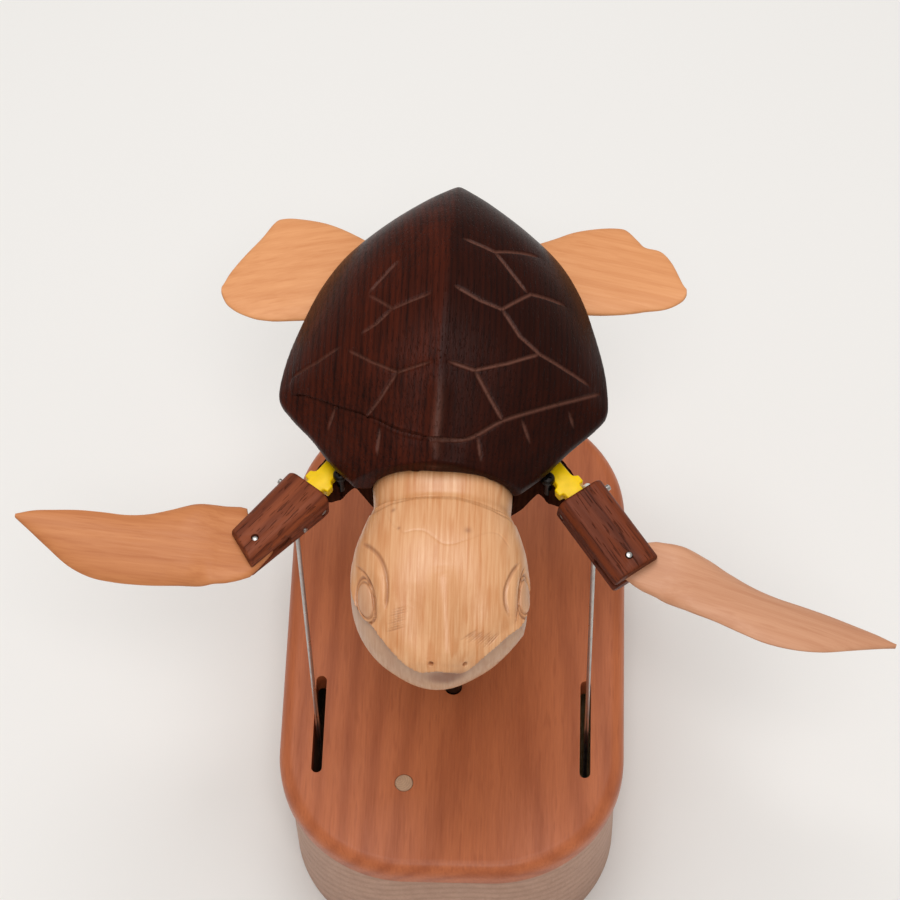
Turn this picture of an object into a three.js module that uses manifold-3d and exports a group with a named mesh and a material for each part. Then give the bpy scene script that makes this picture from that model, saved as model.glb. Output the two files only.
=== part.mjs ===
// Wooden sea turtle automaton: a carved turtle on a post above a low box.
// A hand crank at the back turns a crankshaft inside the box. Two steel wires
// rise from it through slots in the lid and flap the turtle's front flippers.
// Millimetres, +Z up, origin in the middle of the box's underside.
// The turtle looks along -Y. Left and right are as seen from in front of it.

import * as THREE from 'three';
import { mergeVertices } from 'three/addons/utils/BufferGeometryUtils.js';
import Module from 'manifold-3d';

const wasm = await Module();
wasm.setup();

// Box
const boxWidth = 110;
const boxDepth = 172;
const boxCorner = 42;
const boxHeight = 62;
const lidThickness = 9;
const lidRound = 4.5;
const lidOverhang = 2.3;
const wallThickness = 7;
const floorThickness = 6;
const fitGap = 0.3;

// Openings and plug in the lid
const slotInset = 12.4;
const slotLength = 34;
const slotWidth = 3.4;
const plugX = -14.6;
const plugY = -56;
const plugDiameter = 5.6;
const plugDepth = 5;
const plugProud = 0.4;

// Post under the turtle
const postY = -22;
const postDiameter = 5;
const postInset = 5;

// Crankshaft and its bearings
const crankshaftY = -36;
const shaftDiameter = 5;
const crankThrow = 4;
const crankPinDiameter = 3;
const discRadius = 12;
const discThickness = 5;
const discInset = 6.6;
const bearingThickness = 6;
const bearingWidth = 18;
const bearingCap = 9;

// Peg wheels that turn the drive through a right angle
const pegCount = 8;
const pegCircle = 9;
const pegDiameter = 2.4;
const pegPast = 0.6;
const wheelStandoff = 3;
const wheelRadius = 11.4;
const wheelThickness = 3.6;

// Crank
const innerBearingY = 18;
const bushDiameter = 9;
const bushFlange = 14;
const bushFlangeThickness = 2.5;
const collarDiameter = 11;
const collarThickness = 5;
const armGap = 0.8;
const crankReach = 20;
const crankArmWidth = 13;
const crankArmThickness = 7;
const shaftEndProud = 1.2;
const spindleDiameter = 4;
const spindleHead = 7;
const spindleHeadThickness = 1.6;
const knobLength = 24;
const knobDiameter = 14;

// Shell and body
const shellLength = 103;
const shellOverhang = 8;
const shellHeight = 30;
const shellSeat = 183;
const shellFront = -19;
const shellShift = -2;
const shellYaw = -2;
const rimThickness = 4;
const bodyLength = 95;
const bodyInset = 2.2;
const bodyDepth = 22;
const bodyFront = -19;

// Neck and head
const headLength = 89;
const headInset = 14.7;
const headHeight = 37;
const headTip = -77;
const headMiddle = 178;
const headShift = -1;

// Rear flippers
const rearRootInset = 11;
const rearRootY = 56;
const rearSpan = 43;
const rearChord = 31;
const rearThickness = 5;
const rearTop = 182.4;
const rearStagger = 1.5;

// Upper arms
const shoulderInset = 2.4;
const nailY = -18.8;
const shoulderShift = -0.8;
const nailHeight = 178;
const nailDrop = 0.8;
const elbowReach = 21.6;
const leftElbowInset = 8.1;
const rightElbowInset = 4.5;
const leftArmTaper = 3.6;
const rightArmTaper = 0;
const leftArmSkew = 6.4;
const rightArmSkew = 0;
const armWidth = 15.4;
const armThickness = 11;
const armRound = 3.5;
const armBevel = 0.8;
const nailInset = 2.4;
const nailDiameter = 1.8;
const nailProud = 0.5;
const armYaw = 53;
const leftFlap = 3;
const rightFlap = -10;
const flapSwing = 20;
const pocketHeight = 3.6;

// Yellow shoulder links and their screws
const linkTongue = 5.4;
const linkThickness = 3.4;
const linkReach = 16;
const linkFlare = 8.6;
const linkFlareLength = 2.6;
const linkBevel = 0.6;
const clampReach = 11.5;
const screwHead = 4.2;
const screwHeadHeight = 1.8;
const screwShank = 2;
const screwDepth = 5;
const shelfRadius = 5;
const shelfDepth = 8;
const washerDiameter = 6.6;
const washerThickness = 1.6;

// Elbows and front flippers
const leftElbowRoom = 8.6;
const rightElbowRoom = 5.6;
const elbowSlotHeight = 3.6;
const elbowTongueRadius = 5;
const leftFlipperSpan = 70;
const rightFlipperSpan = 80.5;
const leftFlipperChord = 24;
const rightFlipperChord = 21.5;
const flipperThickness = 5.4;
const leftFlipperSweep = -6;
const rightFlipperSweep = 15;
const leftFlipperRise = 1;
const rightFlipperRise = 0.5;
const leftFlipperTwist = 16;
const rightFlipperTwist = -28;

// Push wires
const wireDiameter = 1.3;
const wireEyeRadius = 1.65;
const wirePinDiameter = 1.4;
const wireAcross = 3.6;
const wireMortiseLength = 8.4;
const wireMortiseWidth = 3.2;

// Screws in the floor
const screwDiameter = 3;
const screwHeadDiameter = 6;
const floorScrewLength = 14;

// Overrun of a cutting shape past the face that it leaves
const overrun = 1;

// Places that follow from the sizes above
const slotX = boxWidth / 2 - slotInset;
const discX = slotX - discInset;
const discInner = discX - discThickness / 2;
const discOuter = discX + discThickness / 2;
const wheelFace = pegCircle + wheelStandoff;
const bearingX = (wheelFace + wheelThickness + discInner) / 2;
const nailX = slotX - shoulderInset;
const shellWidth = 2 * (nailX + shellOverhang);
const bodyWidth = 2 * (nailX - bodyInset);
const headWidth = 2 * (nailX - headInset);
const rearRootX = bodyWidth / 2 - rearRootInset;
const wallTop = boxHeight - lidThickness;
const shaftHeight = (floorThickness + wallTop) / 2;
const wallOuterX = boxWidth / 2 - lidOverhang;
const wallOuterY = boxDepth / 2 - lidOverhang;
const wallInnerY = wallOuterY - wallThickness;
const bore = (diameter) => diameter / 2 + fitGap;
const degrees = THREE.MathUtils.degToRad;
const pegLength = wheelStandoff + pegDiameter / 2 + pegPast;
const eyeX = slotX + fitGap;
const wireReachIn = fitGap + wireDiameter;
const pinEndX = eyeX - wireDiameter / 2 - wireReachIn;
const crankPinY = crankshaftY - crankThrow;
const crankArmY = wallOuterY + bushFlangeThickness + armGap;
const knobStart = crankArmY + crankArmThickness + armGap;

const sides = [
  {
    name: 'left',
    sign: -1,
    flap: degrees(leftFlap),
    span: leftFlipperSpan,
    chord: leftFlipperChord,
    sweep: degrees(leftFlipperSweep),
    rise: leftFlipperRise,
    twist: degrees(leftFlipperTwist),
    inset: leftElbowInset,
    room: leftElbowRoom,
    taper: leftArmTaper,
    skew: leftArmSkew,
  },
  {
    name: 'right',
    sign: 1,
    flap: degrees(rightFlap),
    span: rightFlipperSpan,
    chord: rightFlipperChord,
    sweep: degrees(rightFlipperSweep),
    rise: rightFlipperRise,
    twist: degrees(rightFlipperTwist),
    inset: rightElbowInset,
    room: rightElbowRoom,
    taper: rightArmTaper,
    skew: rightArmSkew,
  },
];

// Finishes
const finish = (color, roughness, metalness) => (
  () => new THREE.MeshStandardMaterial({ color, roughness, metalness })
);
const cherry = finish(0xa5613c, 0.5, 0);
const paleWood = finish(0xc9b094, 0.6, 0);
const maple = finish(0xd9a878, 0.55, 0);
const orangeMaple = finish(0xdba272, 0.55, 0);
const wenge = finish(0x3d2018, 0.4, 0);
const walnut = finish(0x73402a, 0.5, 0);
const plywood = finish(0xc8a878, 0.7, 0);
const steel = finish(0xa9a7a3, 0.35, 1);
const blackSteel = finish(0x1d1b1a, 0.45, 0.8);
const brass = finish(0xb08d4a, 0.35, 1);
const yellowPlastic = finish(0xe3bd0c, 0.4, 0);
const whitePlastic = finish(0xe8e6e2, 0.4, 0);

// Merges shared corners, drops empty triangles and turns the faces outwards.
function closed(geometry) {
  const bare = geometry.clone();
  bare.deleteAttribute('normal');
  bare.deleteAttribute('uv');
  const merged = mergeVertices(bare);
  const corners = merged.getAttribute('position');
  const kept = [];
  const a = new THREE.Vector3();
  const b = new THREE.Vector3();
  const c = new THREE.Vector3();
  let volume = 0;
  for (let k = 0; k < merged.index.count; k += 3) {
    const [i, j, l] = [0, 1, 2].map((step) => merged.index.getX(k + step));
    if (i !== j && j !== l && l !== i) {
      kept.push(i, j, l);
      a.fromBufferAttribute(corners, i);
      b.fromBufferAttribute(corners, j);
      c.fromBufferAttribute(corners, l);
      volume += a.dot(b.cross(c));
    }
  }
  merged.setIndex(volume < 0 ? kept.reverse() : kept);
  return merged;
}

function solidOf(geometry) {
  const shell = closed(geometry);
  return new wasm.Manifold(new wasm.Mesh({
    numProp: 3,
    vertProperties: new Float32Array(shell.getAttribute('position').array),
    triVerts: new Uint32Array(shell.index.array),
  }));
}

function geometryOf(solid) {
  const mesh = solid.getMesh();
  const geometry = new THREE.BufferGeometry();
  geometry.setAttribute('position', new THREE.BufferAttribute(mesh.vertProperties, 3));
  geometry.setIndex(new THREE.BufferAttribute(mesh.triVerts, 1));
  return geometry;
}

function cut(geometry, ...tools) {
  const rest = tools.reduce((solid, tool) => solid.subtract(solidOf(tool)), solidOf(geometry));
  return geometryOf(rest);
}

function join(geometry, ...others) {
  const whole = others.reduce((solid, other) => solid.add(solidOf(other)), solidOf(geometry));
  return geometryOf(whole);
}

function loft(rings) {
  const count = rings[0].length;
  const points = rings.flat();
  const faces = [];
  for (let ring = 0; ring + 1 < rings.length; ring += 1) {
    for (let k = 0; k < count; k += 1) {
      const here = ring * count + k;
      const next = ring * count + ((k + 1) % count);
      faces.push(here, next, next + count, here, next + count, here + count);
    }
  }
  [0, rings.length - 1].forEach((ring) => {
    const middle = new THREE.Vector3();
    rings[ring].forEach((point) => middle.addScaledVector(point, 1 / count));
    points.push(middle);
    const hub = points.length - 1;
    for (let k = 0; k < count; k += 1) {
      const here = ring * count + k;
      const next = ring * count + ((k + 1) % count);
      faces.push(...(ring === 0 ? [hub, next, here] : [hub, here, next]));
    }
  });
  const geometry = new THREE.BufferGeometry().setFromPoints(points);
  geometry.setIndex(faces);
  return closed(geometry);
}

// Cylinder along an axis, from one coordinate on that axis to another.
function rod(radius, axis, from, to, facets = 20) {
  const geometry = new THREE.CylinderGeometry(radius, radius, to - from, facets);
  const middle = (from + to) / 2;
  if (axis === 'x') return geometry.rotateZ(Math.PI / 2).translate(middle, 0, 0);
  if (axis === 'y') return geometry.translate(0, middle, 0);
  return geometry.rotateX(Math.PI / 2).translate(0, 0, middle);
}

// Turned piece: profile points are [radius, distance along the axis].
function turned(profile, axis, segments = 24) {
  const points = profile.map(([radius, along]) => new THREE.Vector2(radius, along));
  const geometry = new THREE.LatheGeometry(points, segments);
  if (axis === 'x') return geometry.rotateZ(-Math.PI / 2);
  if (axis === 'z') return geometry.rotateX(Math.PI / 2);
  return geometry;
}

// Disc with a bore, between two coordinates on its axis.
function ringDisc(outer, inner, axis, from, to, segments = 24) {
  const profile = [[inner, from], [outer, from], [outer, to], [inner, to], [inner, from]];
  return turned(profile, axis, segments);
}

function block(sizeX, sizeY, sizeZ, x, y, z) {
  return new THREE.BoxGeometry(sizeX, sizeY, sizeZ).translate(x, y, z);
}

function roundedOutline(width, depth, corner, steps = 8) {
  const points = [];
  const centres = [[1, 1], [-1, 1], [-1, -1], [1, -1]];
  centres.forEach(([right, back], quarter) => {
    for (let step = 0; step <= steps; step += 1) {
      const angle = (Math.PI / 2) * (quarter + step / steps);
      points.push(new THREE.Vector2(
        right * (width / 2 - corner) + corner * Math.cos(angle),
        back * (depth / 2 - corner) + corner * Math.sin(angle),
      ));
    }
  });
  return points;
}

function slab(outline, from, to, holes = []) {
  const shape = new THREE.Shape(outline);
  shape.holes = holes.map((hole) => new THREE.Path(hole));
  const geometry = new THREE.ExtrudeGeometry(shape, { depth: to - from, bevelEnabled: false });
  return geometry.translate(0, 0, from);
}

// Rod with round ends seen from above, used for slots.
function slotCutter(width, length, x, y, from, to) {
  const outline = roundedOutline(width, length, width / 2, 6)
    .map((point) => new THREE.Vector2(point.x + x, point.y + y));
  return slab(outline, from, to);
}

// Tube along a curve, closed at both ends.
function tube(path, diameter, steps, facets = 8) {
  const section = new THREE.Shape(
    Array.from({ length: facets }, (_, k) => {
      const angle = (2 * Math.PI * k) / facets;
      return new THREE.Vector2(Math.cos(angle), Math.sin(angle)).multiplyScalar(diameter / 2);
    }),
  );
  return new THREE.ExtrudeGeometry(section, { steps, extrudePath: path, bevelEnabled: false });
}

const automaton = new THREE.Group();

function add(parent, name, geometry, makeMaterial) {
  const shell = closed(geometry);
  shell.computeVertexNormals();
  const mesh = new THREE.Mesh(shell, makeMaterial());
  mesh.name = name;
  parent.add(mesh);
  return mesh;
}

// Box

function lidBoard() {
  const roundSteps = 4;
  const rings = [];
  const ringAt = (inset, z) => rings.push(
    roundedOutline(boxWidth - 2 * inset, boxDepth - 2 * inset, boxCorner - inset)
      .map((point) => new THREE.Vector3(point.x, point.y, z)),
  );
  ringAt(0, wallTop);
  for (let step = 0; step <= roundSteps; step += 1) {
    const angle = (Math.PI / 2) * (step / roundSteps);
    const inset = lidRound * (1 - Math.cos(angle));
    ringAt(inset, boxHeight - lidRound + lidRound * Math.sin(angle));
  }
  const under = wallTop - overrun;
  const over = boxHeight + overrun;
  const slots = sides.map(({ sign }) => (
    slotCutter(slotWidth, slotLength, sign * slotX, crankshaftY, under, over)
  ));
  const postHole = rod(bore(postDiameter), 'z', under, over).translate(0, postY, 0);
  const plugHole = rod(bore(plugDiameter), 'z', boxHeight - plugDepth - fitGap, over)
    .translate(plugX, plugY, 0);
  return cut(loft(rings), ...slots, postHole, plugHole);
}

function lidPlug() {
  const radius = plugDiameter / 2;
  const base = boxHeight - plugDepth;
  const face = boxHeight + plugProud;
  const profile = [[0, base], [radius, base], [radius, boxHeight], [radius - plugProud, face], [0, face]];
  return turned(profile, 'z').translate(plugX, plugY, 0);
}

function housingWall() {
  const outer = roundedOutline(2 * wallOuterX, 2 * wallOuterY, boxCorner - lidOverhang);
  const inner = roundedOutline(
    2 * (wallOuterX - wallThickness),
    2 * wallInnerY,
    boxCorner - lidOverhang - wallThickness,
  ).reverse();
  const ring = slab(outer, 0, wallTop, [inner]);
  const shaftHole = rod(bore(bushDiameter), 'y', wallInnerY - overrun, wallOuterY + overrun)
    .translate(0, 0, shaftHeight);
  return cut(ring, shaftHole);
}

const floorScrewPlaces = {
  left: [-bearingX, crankshaftY],
  right: [bearingX, crankshaftY],
  back: [0, innerBearingY],
};

function bottomBoard() {
  const outline = roundedOutline(
    2 * (wallOuterX - wallThickness - fitGap),
    2 * (wallInnerY - fitGap),
    boxCorner - lidOverhang - wallThickness - fitGap,
  );
  const holes = Object.values(floorScrewPlaces).flatMap(([x, y]) => [
    rod(bore(screwDiameter), 'z', -overrun, floorThickness + overrun, 12).translate(x, y, 0),
    rod(bore(screwHeadDiameter), 'z', -overrun, screwDiameter, 16).translate(x, y, 0),
  ]);
  return cut(slab(outline, 0, floorThickness), ...holes);
}

function floorScrew([x, y]) {
  const head = screwHeadDiameter / 2;
  const shank = screwDiameter / 2;
  const top = fitGap + floorScrewLength;
  const profile = [
    [0, fitGap],
    [head, fitGap],
    [head, screwDiameter - fitGap],
    [shank, screwDiameter - fitGap],
    [shank, top - shank],
    [0, top],
  ];
  return turned(profile, 'z', 16).translate(x, y, 0);
}

// Bearings: an upright with a round top, bored for a shaft.

function bearingUpright(thickness) {
  const foot = shaftHeight - floorThickness;
  const shape = new THREE.Shape();
  shape.moveTo(-bearingWidth / 2, -foot);
  shape.lineTo(bearingWidth / 2, -foot);
  shape.lineTo(bearingCap, 0);
  shape.absarc(0, 0, bearingCap, 0, Math.PI, false);
  shape.lineTo(-bearingWidth / 2, -foot);
  const plate = new THREE.ExtrudeGeometry(shape, {
    depth: thickness,
    bevelEnabled: false,
    curveSegments: 8,
  });
  const pilot = rod(bore(screwDiameter), 'y', -foot - overrun, floorScrewLength - foot, 16)
    .translate(0, 0, thickness / 2);
  const shaftHole = rod(bore(shaftDiameter), 'z', -overrun, thickness + overrun);
  return cut(plate, pilot, shaftHole).rotateX(Math.PI / 2).translate(0, thickness / 2, shaftHeight);
}

// Crankshaft, seen in place with its pins forward

function crankshaft() {
  return rod(shaftDiameter / 2, 'x', -discOuter, discOuter).translate(0, crankshaftY, shaftHeight);
}

function crankDisc(sign) {
  const ring = ringDisc(discRadius, bore(shaftDiameter), 'x', sign * discInner, sign * discOuter);
  const pinHole = rod(bore(crankPinDiameter), 'x', discInner - overrun, discOuter + overrun, 20)
    .scale(sign, 1, 1)
    .translate(0, -crankThrow, 0);
  return cut(ring, pinHole).translate(0, crankshaftY, shaftHeight);
}

function crankPin(sign) {
  const ends = [sign * discInner, sign * pinEndX].sort((p, q) => p - q);
  return rod(crankPinDiameter / 2, 'x', ...ends, 20).translate(0, crankPinY, shaftHeight);
}

// Peg wheels: a wooden disc with glued pegs that reach past the line where the
// two peg circles cross

function pegPlaces(phase) {
  return Array.from({ length: pegCount }, (_, k) => {
    const angle = (2 * Math.PI * (k + phase)) / pegCount;
    return [pegCircle * Math.cos(angle), pegCircle * Math.sin(angle)];
  });
}

function pegWheel(phase) {
  const end = wheelFace + wheelThickness;
  const disc = ringDisc(wheelRadius, bore(shaftDiameter), 'z', wheelFace, end);
  const pegs = pegPlaces(phase).map(([x, y]) => (
    rod(pegDiameter / 2, 'z', wheelFace - pegLength, end, 10).translate(x, y, 0)
  ));
  return join(disc, ...pegs);
}

const crownPhase = 0;
const drivenPhase = 0.5;
const ontoCrown = (geometry) => (
  geometry.rotateX(-Math.PI / 2).translate(0, crankshaftY, shaftHeight)
);
const ontoDriven = (geometry) => (
  geometry.rotateY(Math.PI / 2).translate(0, crankshaftY, shaftHeight)
);

// Input shaft and crank, on the line along Y through the crankshaft's middle

function inputShaft() {
  const from = crankshaftY + wheelFace;
  const to = crankArmY + crankArmThickness + shaftEndProud;
  return rod(shaftDiameter / 2, 'y', from, to).translate(0, 0, shaftHeight);
}

function rearBush() {
  const inner = bore(shaftDiameter);
  const flangeEnd = wallOuterY + bushFlangeThickness;
  const profile = [
    [inner, wallInnerY],
    [bushDiameter / 2, wallInnerY],
    [bushDiameter / 2, wallOuterY],
    [bushFlange / 2, wallOuterY],
    [bushFlange / 2, flangeEnd],
    [inner, flangeEnd],
    [inner, wallInnerY],
  ];
  return turned(profile, 'y').translate(0, 0, shaftHeight);
}

function shaftCollar() {
  const to = wallInnerY - armGap;
  return ringDisc(collarDiameter / 2, bore(shaftDiameter), 'y', to - collarThickness, to)
    .translate(0, 0, shaftHeight);
}

// The crank hangs down at rest.
function crankArm() {
  const half = crankArmWidth / 2;
  const waist = half * 0.8;
  const shape = new THREE.Shape();
  shape.absarc(0, 0, half, Math.PI, 0, false);
  shape.quadraticCurveTo(waist, crankReach / 2, half * 0.85, crankReach);
  shape.absarc(0, crankReach, half * 0.85, 0, Math.PI, false);
  shape.quadraticCurveTo(-waist, crankReach / 2, -half, 0);
  const bevel = crankArmThickness * 0.12;
  const plate = new THREE.ExtrudeGeometry(shape, {
    depth: crankArmThickness - 2 * bevel,
    bevelThickness: bevel,
    bevelSize: bevel,
    bevelOffset: -bevel,
    bevelSegments: 1,
    curveSegments: 8,
  }).translate(0, 0, bevel);
  const holes = [
    rod(bore(shaftDiameter), 'z', -overrun, crankArmThickness + overrun),
    rod(bore(spindleDiameter), 'z', -overrun, crankArmThickness + overrun, 20)
      .translate(0, crankReach, 0),
  ];
  return cut(plate, ...holes)
    .rotateX(Math.PI / 2)
    .rotateY(Math.PI)
    .translate(0, crankArmY + crankArmThickness, shaftHeight);
}

const knobHeight = shaftHeight - crankReach;

function knobSpindle() {
  const radius = spindleDiameter / 2;
  const head = spindleHead / 2;
  const headFrom = knobStart + knobLength + fitGap;
  const headTo = headFrom + spindleHeadThickness;
  const profile = [
    [0, crankArmY],
    [radius, crankArmY],
    [radius, headFrom],
    [head, headFrom],
    [head * 0.7, headTo],
    [0, headTo],
  ];
  return turned(profile, 'y', 20).translate(0, 0, knobHeight);
}

function crankKnob() {
  const inner = bore(spindleDiameter);
  const radius = knobDiameter / 2;
  const knobShares = [[0.62, 0], [0.74, 0.06], [0.72, 0.2], [0.84, 0.42], [1, 0.68], [0.94, 0.86], [0.66, 1]];
  const profile = knobShares.map(([wide, along]) => [radius * wide, knobStart + knobLength * along]);
  return turned([
    [inner, knobStart],
    ...profile,
    [inner, knobStart + knobLength],
    [inner, knobStart],
  ], 'y').translate(0, 0, knobHeight);
}

// Shell: stations along its length as shares of length, half width and height

const shellShares = [
  [0, 0.5, 0.6], [0.06, 0.64, 0.69], [0.14, 0.78, 0.77], [0.2, 0.9, 0.83], [0.25, 0.985, 0.88],
  [0.3, 1, 0.93], [0.4, 0.97, 0.985], [0.52, 0.9, 1], [0.64, 0.81, 0.95], [0.75, 0.68, 0.84],
  [0.84, 0.505, 0.69], [0.92, 0.295, 0.51], [0.97, 0.135, 0.36], [1, 0.04, 0.24],
];
const shellStepShares = [1, 0.93, 0.82, 0.68, 0.52, 0.35, 0.18, 0.06];
const keelShare = 0.36;
const rimTuckShare = 0.96;

function shellRing([along, wide, high]) {
  const y = shellFront + shellLength * along;
  const half = (shellWidth / 2) * wide;
  const rim = Math.min(rimThickness, shellHeight * high * 0.6);
  const rise = shellHeight * high - rim;
  const topAt = (q) => {
    const fall = keelShare * q + (1 - keelShare) * q ** 3.2;
    return shellSeat + rim + rise * (1 - fall);
  };
  const point = (x, z) => new THREE.Vector3(x, y, z);
  const half1 = shellStepShares.map((q) => point(half * q, topAt(q)));
  const half2 = [...shellStepShares].reverse().map((q) => point(-half * q, topAt(q)));
  const under = [
    point(-half, shellSeat + rim * 0.35),
    point(-half * rimTuckShare, shellSeat),
    point(half * rimTuckShare, shellSeat),
    point(half, shellSeat + rim * 0.35),
  ];
  return [...half1, point(0, topAt(0)), ...half2, ...under];
}

// Neck and head: shares of length, half width, and height above and below the middle

const headShares = [
  [0, 0.66, 0.36, -0.28], [0.16, 0.74, 0.42, -0.34], [0.3, 0.79, 0.44, -0.4], [0.37, 0.79, 0.44, -0.42],
  [0.41, 0.8, 0.43, -0.45], [0.44, 0.84, 0.455, -0.48], [0.5, 0.91, 0.48, -0.5],
  [0.57, 0.975, 0.5, -0.5], [0.65, 1, 0.5, -0.5], [0.73, 0.985, 0.48, -0.48], [0.8, 0.92, 0.44, -0.45],
  [0.86, 0.81, 0.38, -0.4], [0.91, 0.67, 0.32, -0.34], [0.95, 0.5, 0.27, -0.28],
  [0.98, 0.33, 0.22, -0.22], [1, 0.16, 0.14, -0.14],
];
const headSteps = 24;

function headRing([along, wide, above, below], grow) {
  const y = headTip + headLength * (1 - along);
  const half = (headWidth / 2) * wide + grow;
  const top = headHeight * above + grow;
  const bottom = headHeight * below - grow;
  return Array.from({ length: headSteps }, (_, k) => {
    const angle = (2 * Math.PI * k) / headSteps;
    const side = Math.cos(angle);
    const up = Math.sin(angle);
    const level = (top + bottom) / 2 + ((top - bottom) / 2) * Math.sign(up) * Math.abs(up) ** 0.85;
    const x = half * Math.sign(side) * Math.abs(side) ** 0.8;
    return new THREE.Vector3(x, y, headMiddle + level);
  });
}

function neckAndHead(grow = 0) {
  return loft(headShares.map((share) => headRing(share, grow))).translate(headShift, 0, 0);
}

// Body under the shell: shares of length, half width and depth

const bodyShares = [
  [0, 0.5, 0.86], [0.04, 0.62, 0.94], [0.1, 0.74, 1], [0.18, 0.83, 1], [0.26, 0.92, 1],
  [0.34, 1, 1], [0.46, 1, 1], [0.61, 0.9, 0.96], [0.76, 0.72, 0.86], [0.89, 0.48, 0.66], [1, 0.2, 0.4],
];

function bodyRing([along, wide, deep]) {
  const y = bodyFront + bodyLength * along;
  const half = (bodyWidth / 2) * wide;
  const bottom = shellSeat - bodyDepth * deep;
  const point = (x, z) => new THREE.Vector3(x, y, z);
  const bellyShares = [[1, 0], [1, 0.45], [0.93, 0.76], [0.74, 0.95], [0.4, 1]];
  const down = bellyShares.map(([across, drop]) => (
    point(half * across, shellSeat + (bottom - shellSeat) * drop)
  ));
  const up = [...down].reverse().map((p) => point(-p.x, p.z));
  return [...down, ...up];
}

// Frames of a shoulder and its arm, both at the nail: +X runs out along the arm.
// The side towards the head is -Y on the right arm and +Y on the left one.
const yaw = degrees(armYaw);

function shoulderFrame({ sign }) {
  const group = new THREE.Group();
  group.position.set(sign * nailX + shoulderShift, nailY, nailHeight);
  group.rotation.z = sign > 0 ? -yaw : Math.PI + yaw;
  group.updateMatrix();
  return group;
}

function flapFrame({ flap }) {
  const group = new THREE.Group();
  group.rotation.y = -flap;
  group.updateMatrix();
  return group;
}

const armStart = -nailInset;
const wireAlong = ({ sign, flap }) => {
  const outward = eyeX - nailX - sign * shoulderShift;
  return (outward + wireAcross * Math.sin(yaw)) / (Math.cos(yaw) * Math.cos(flap));
};

// Outline of a link: a tongue on the nail, a flare clear of the tilting arm
// and a bar with a round end under the shell
function linkOutline(grow) {
  const steepest = Math.max(...sides.map(({ flap }) => Math.abs(flap))) + degrees(flapSwing);
  const tilt = (linkThickness / 2) * Math.sin(steepest);
  const flareX = -(nailInset + tilt) / Math.cos(steepest) - fitGap;
  const barX = flareX - linkFlareLength;
  const half = linkTongue / 2 + grow;
  const flare = linkFlare / 2 + grow;
  const shape = new THREE.Shape();
  shape.moveTo(-linkReach, -half);
  shape.lineTo(barX - (flare - half), -half);
  shape.quadraticCurveTo(barX, -half, barX, -flare);
  shape.lineTo(flareX + grow, -flare);
  shape.lineTo(flareX + grow, -half);
  shape.lineTo(0, -half);
  shape.absarc(0, 0, half, -Math.PI / 2, Math.PI / 2, false);
  shape.lineTo(flareX + grow, half);
  shape.lineTo(flareX + grow, flare);
  shape.lineTo(barX, flare);
  shape.quadraticCurveTo(barX, half, barX - (flare - half), half);
  shape.lineTo(-linkReach, half);
  shape.absarc(-linkReach, 0, half, Math.PI / 2, 1.5 * Math.PI, false);
  return shape;
}

function shoulderLink() {
  const body = new THREE.ExtrudeGeometry(linkOutline(0), {
    depth: linkThickness - 2 * linkBevel,
    bevelThickness: linkBevel,
    bevelSize: linkBevel,
    bevelOffset: -linkBevel,
    bevelSegments: 1,
    curveSegments: 6,
  }).translate(0, 0, linkBevel - linkThickness / 2);
  const nailHole = rod(bore(nailDiameter), 'y', -linkTongue, linkTongue, 12);
  return cut(body, nailHole);
}

// A link is held down by the head of a screw beside it, on the side of the head.
const clampAcross = ({ sign }) => -sign * (linkTongue / 2 + fitGap + screwShank / 2);

function clampScrew(side) {
  const top = linkThickness / 2 + fitGap;
  const shank = screwShank / 2;
  const head = screwHead / 2;
  const tip = -linkThickness / 2 - screwDepth;
  const profile = [
    [0, tip],
    [shank, tip + shank],
    [shank, top],
    [head, top],
    [head, top + screwHeadHeight * 0.5],
    [head * 0.6, top + screwHeadHeight],
    [0, top + screwHeadHeight],
  ];
  return turned(profile, 'z', 16).translate(-clampReach, clampAcross(side), 0);
}

function shoulderNail() {
  const end = armWidth / 2 + nailProud;
  return rod(nailDiameter / 2, 'y', -end, end, 12);
}

// White washer on the nail, between the link and the cheek away from the head
const washerStart = linkTongue / 2 + fitGap;
const washerEnd = washerStart + washerThickness;

function shoulderWasher({ sign }) {
  const ends = [sign * washerStart, sign * washerEnd];
  return ringDisc(washerDiameter / 2, bore(nailDiameter), 'y', ...ends, 16);
}

function boxBetween(lowX, highX, lowY, highY, lowZ, highZ) {
  return block(
    highX - lowX,
    highY - lowY,
    highZ - lowZ,
    (lowX + highX) / 2,
    (lowY + highY) / 2,
    (lowZ + highZ) / 2,
  );
}

// Span across the arm, from the side of the head to the side away from it
const acrossArm = (sign, towards, away) => [-sign * towards, sign * away].sort((p, q) => p - q);

// Wedges that narrow an arm towards its elbow and cut its end aslant.
function armTrims({ sign, inset, taper, skew }, under, top) {
  if (taper === 0 && skew === 0) return [];
  const half = armWidth / 2;
  const outer = half + overrun;
  const end = elbowReach + inset;
  const endAt = (ahead) => end - (skew * (half - ahead)) / armWidth;
  const front = [[0, half], [end + overrun, half - taper], [end + overrun, outer], [0, outer]];
  const tip = [[endAt(outer), outer], [endAt(-outer), -outer], [end + skew, -outer], [end + skew, outer]];
  return [front, tip].map((outline) => (
    slab(outline.map(([x, ahead]) => new THREE.Vector2(x, -sign * ahead)), under, top)
  ));
}

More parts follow.
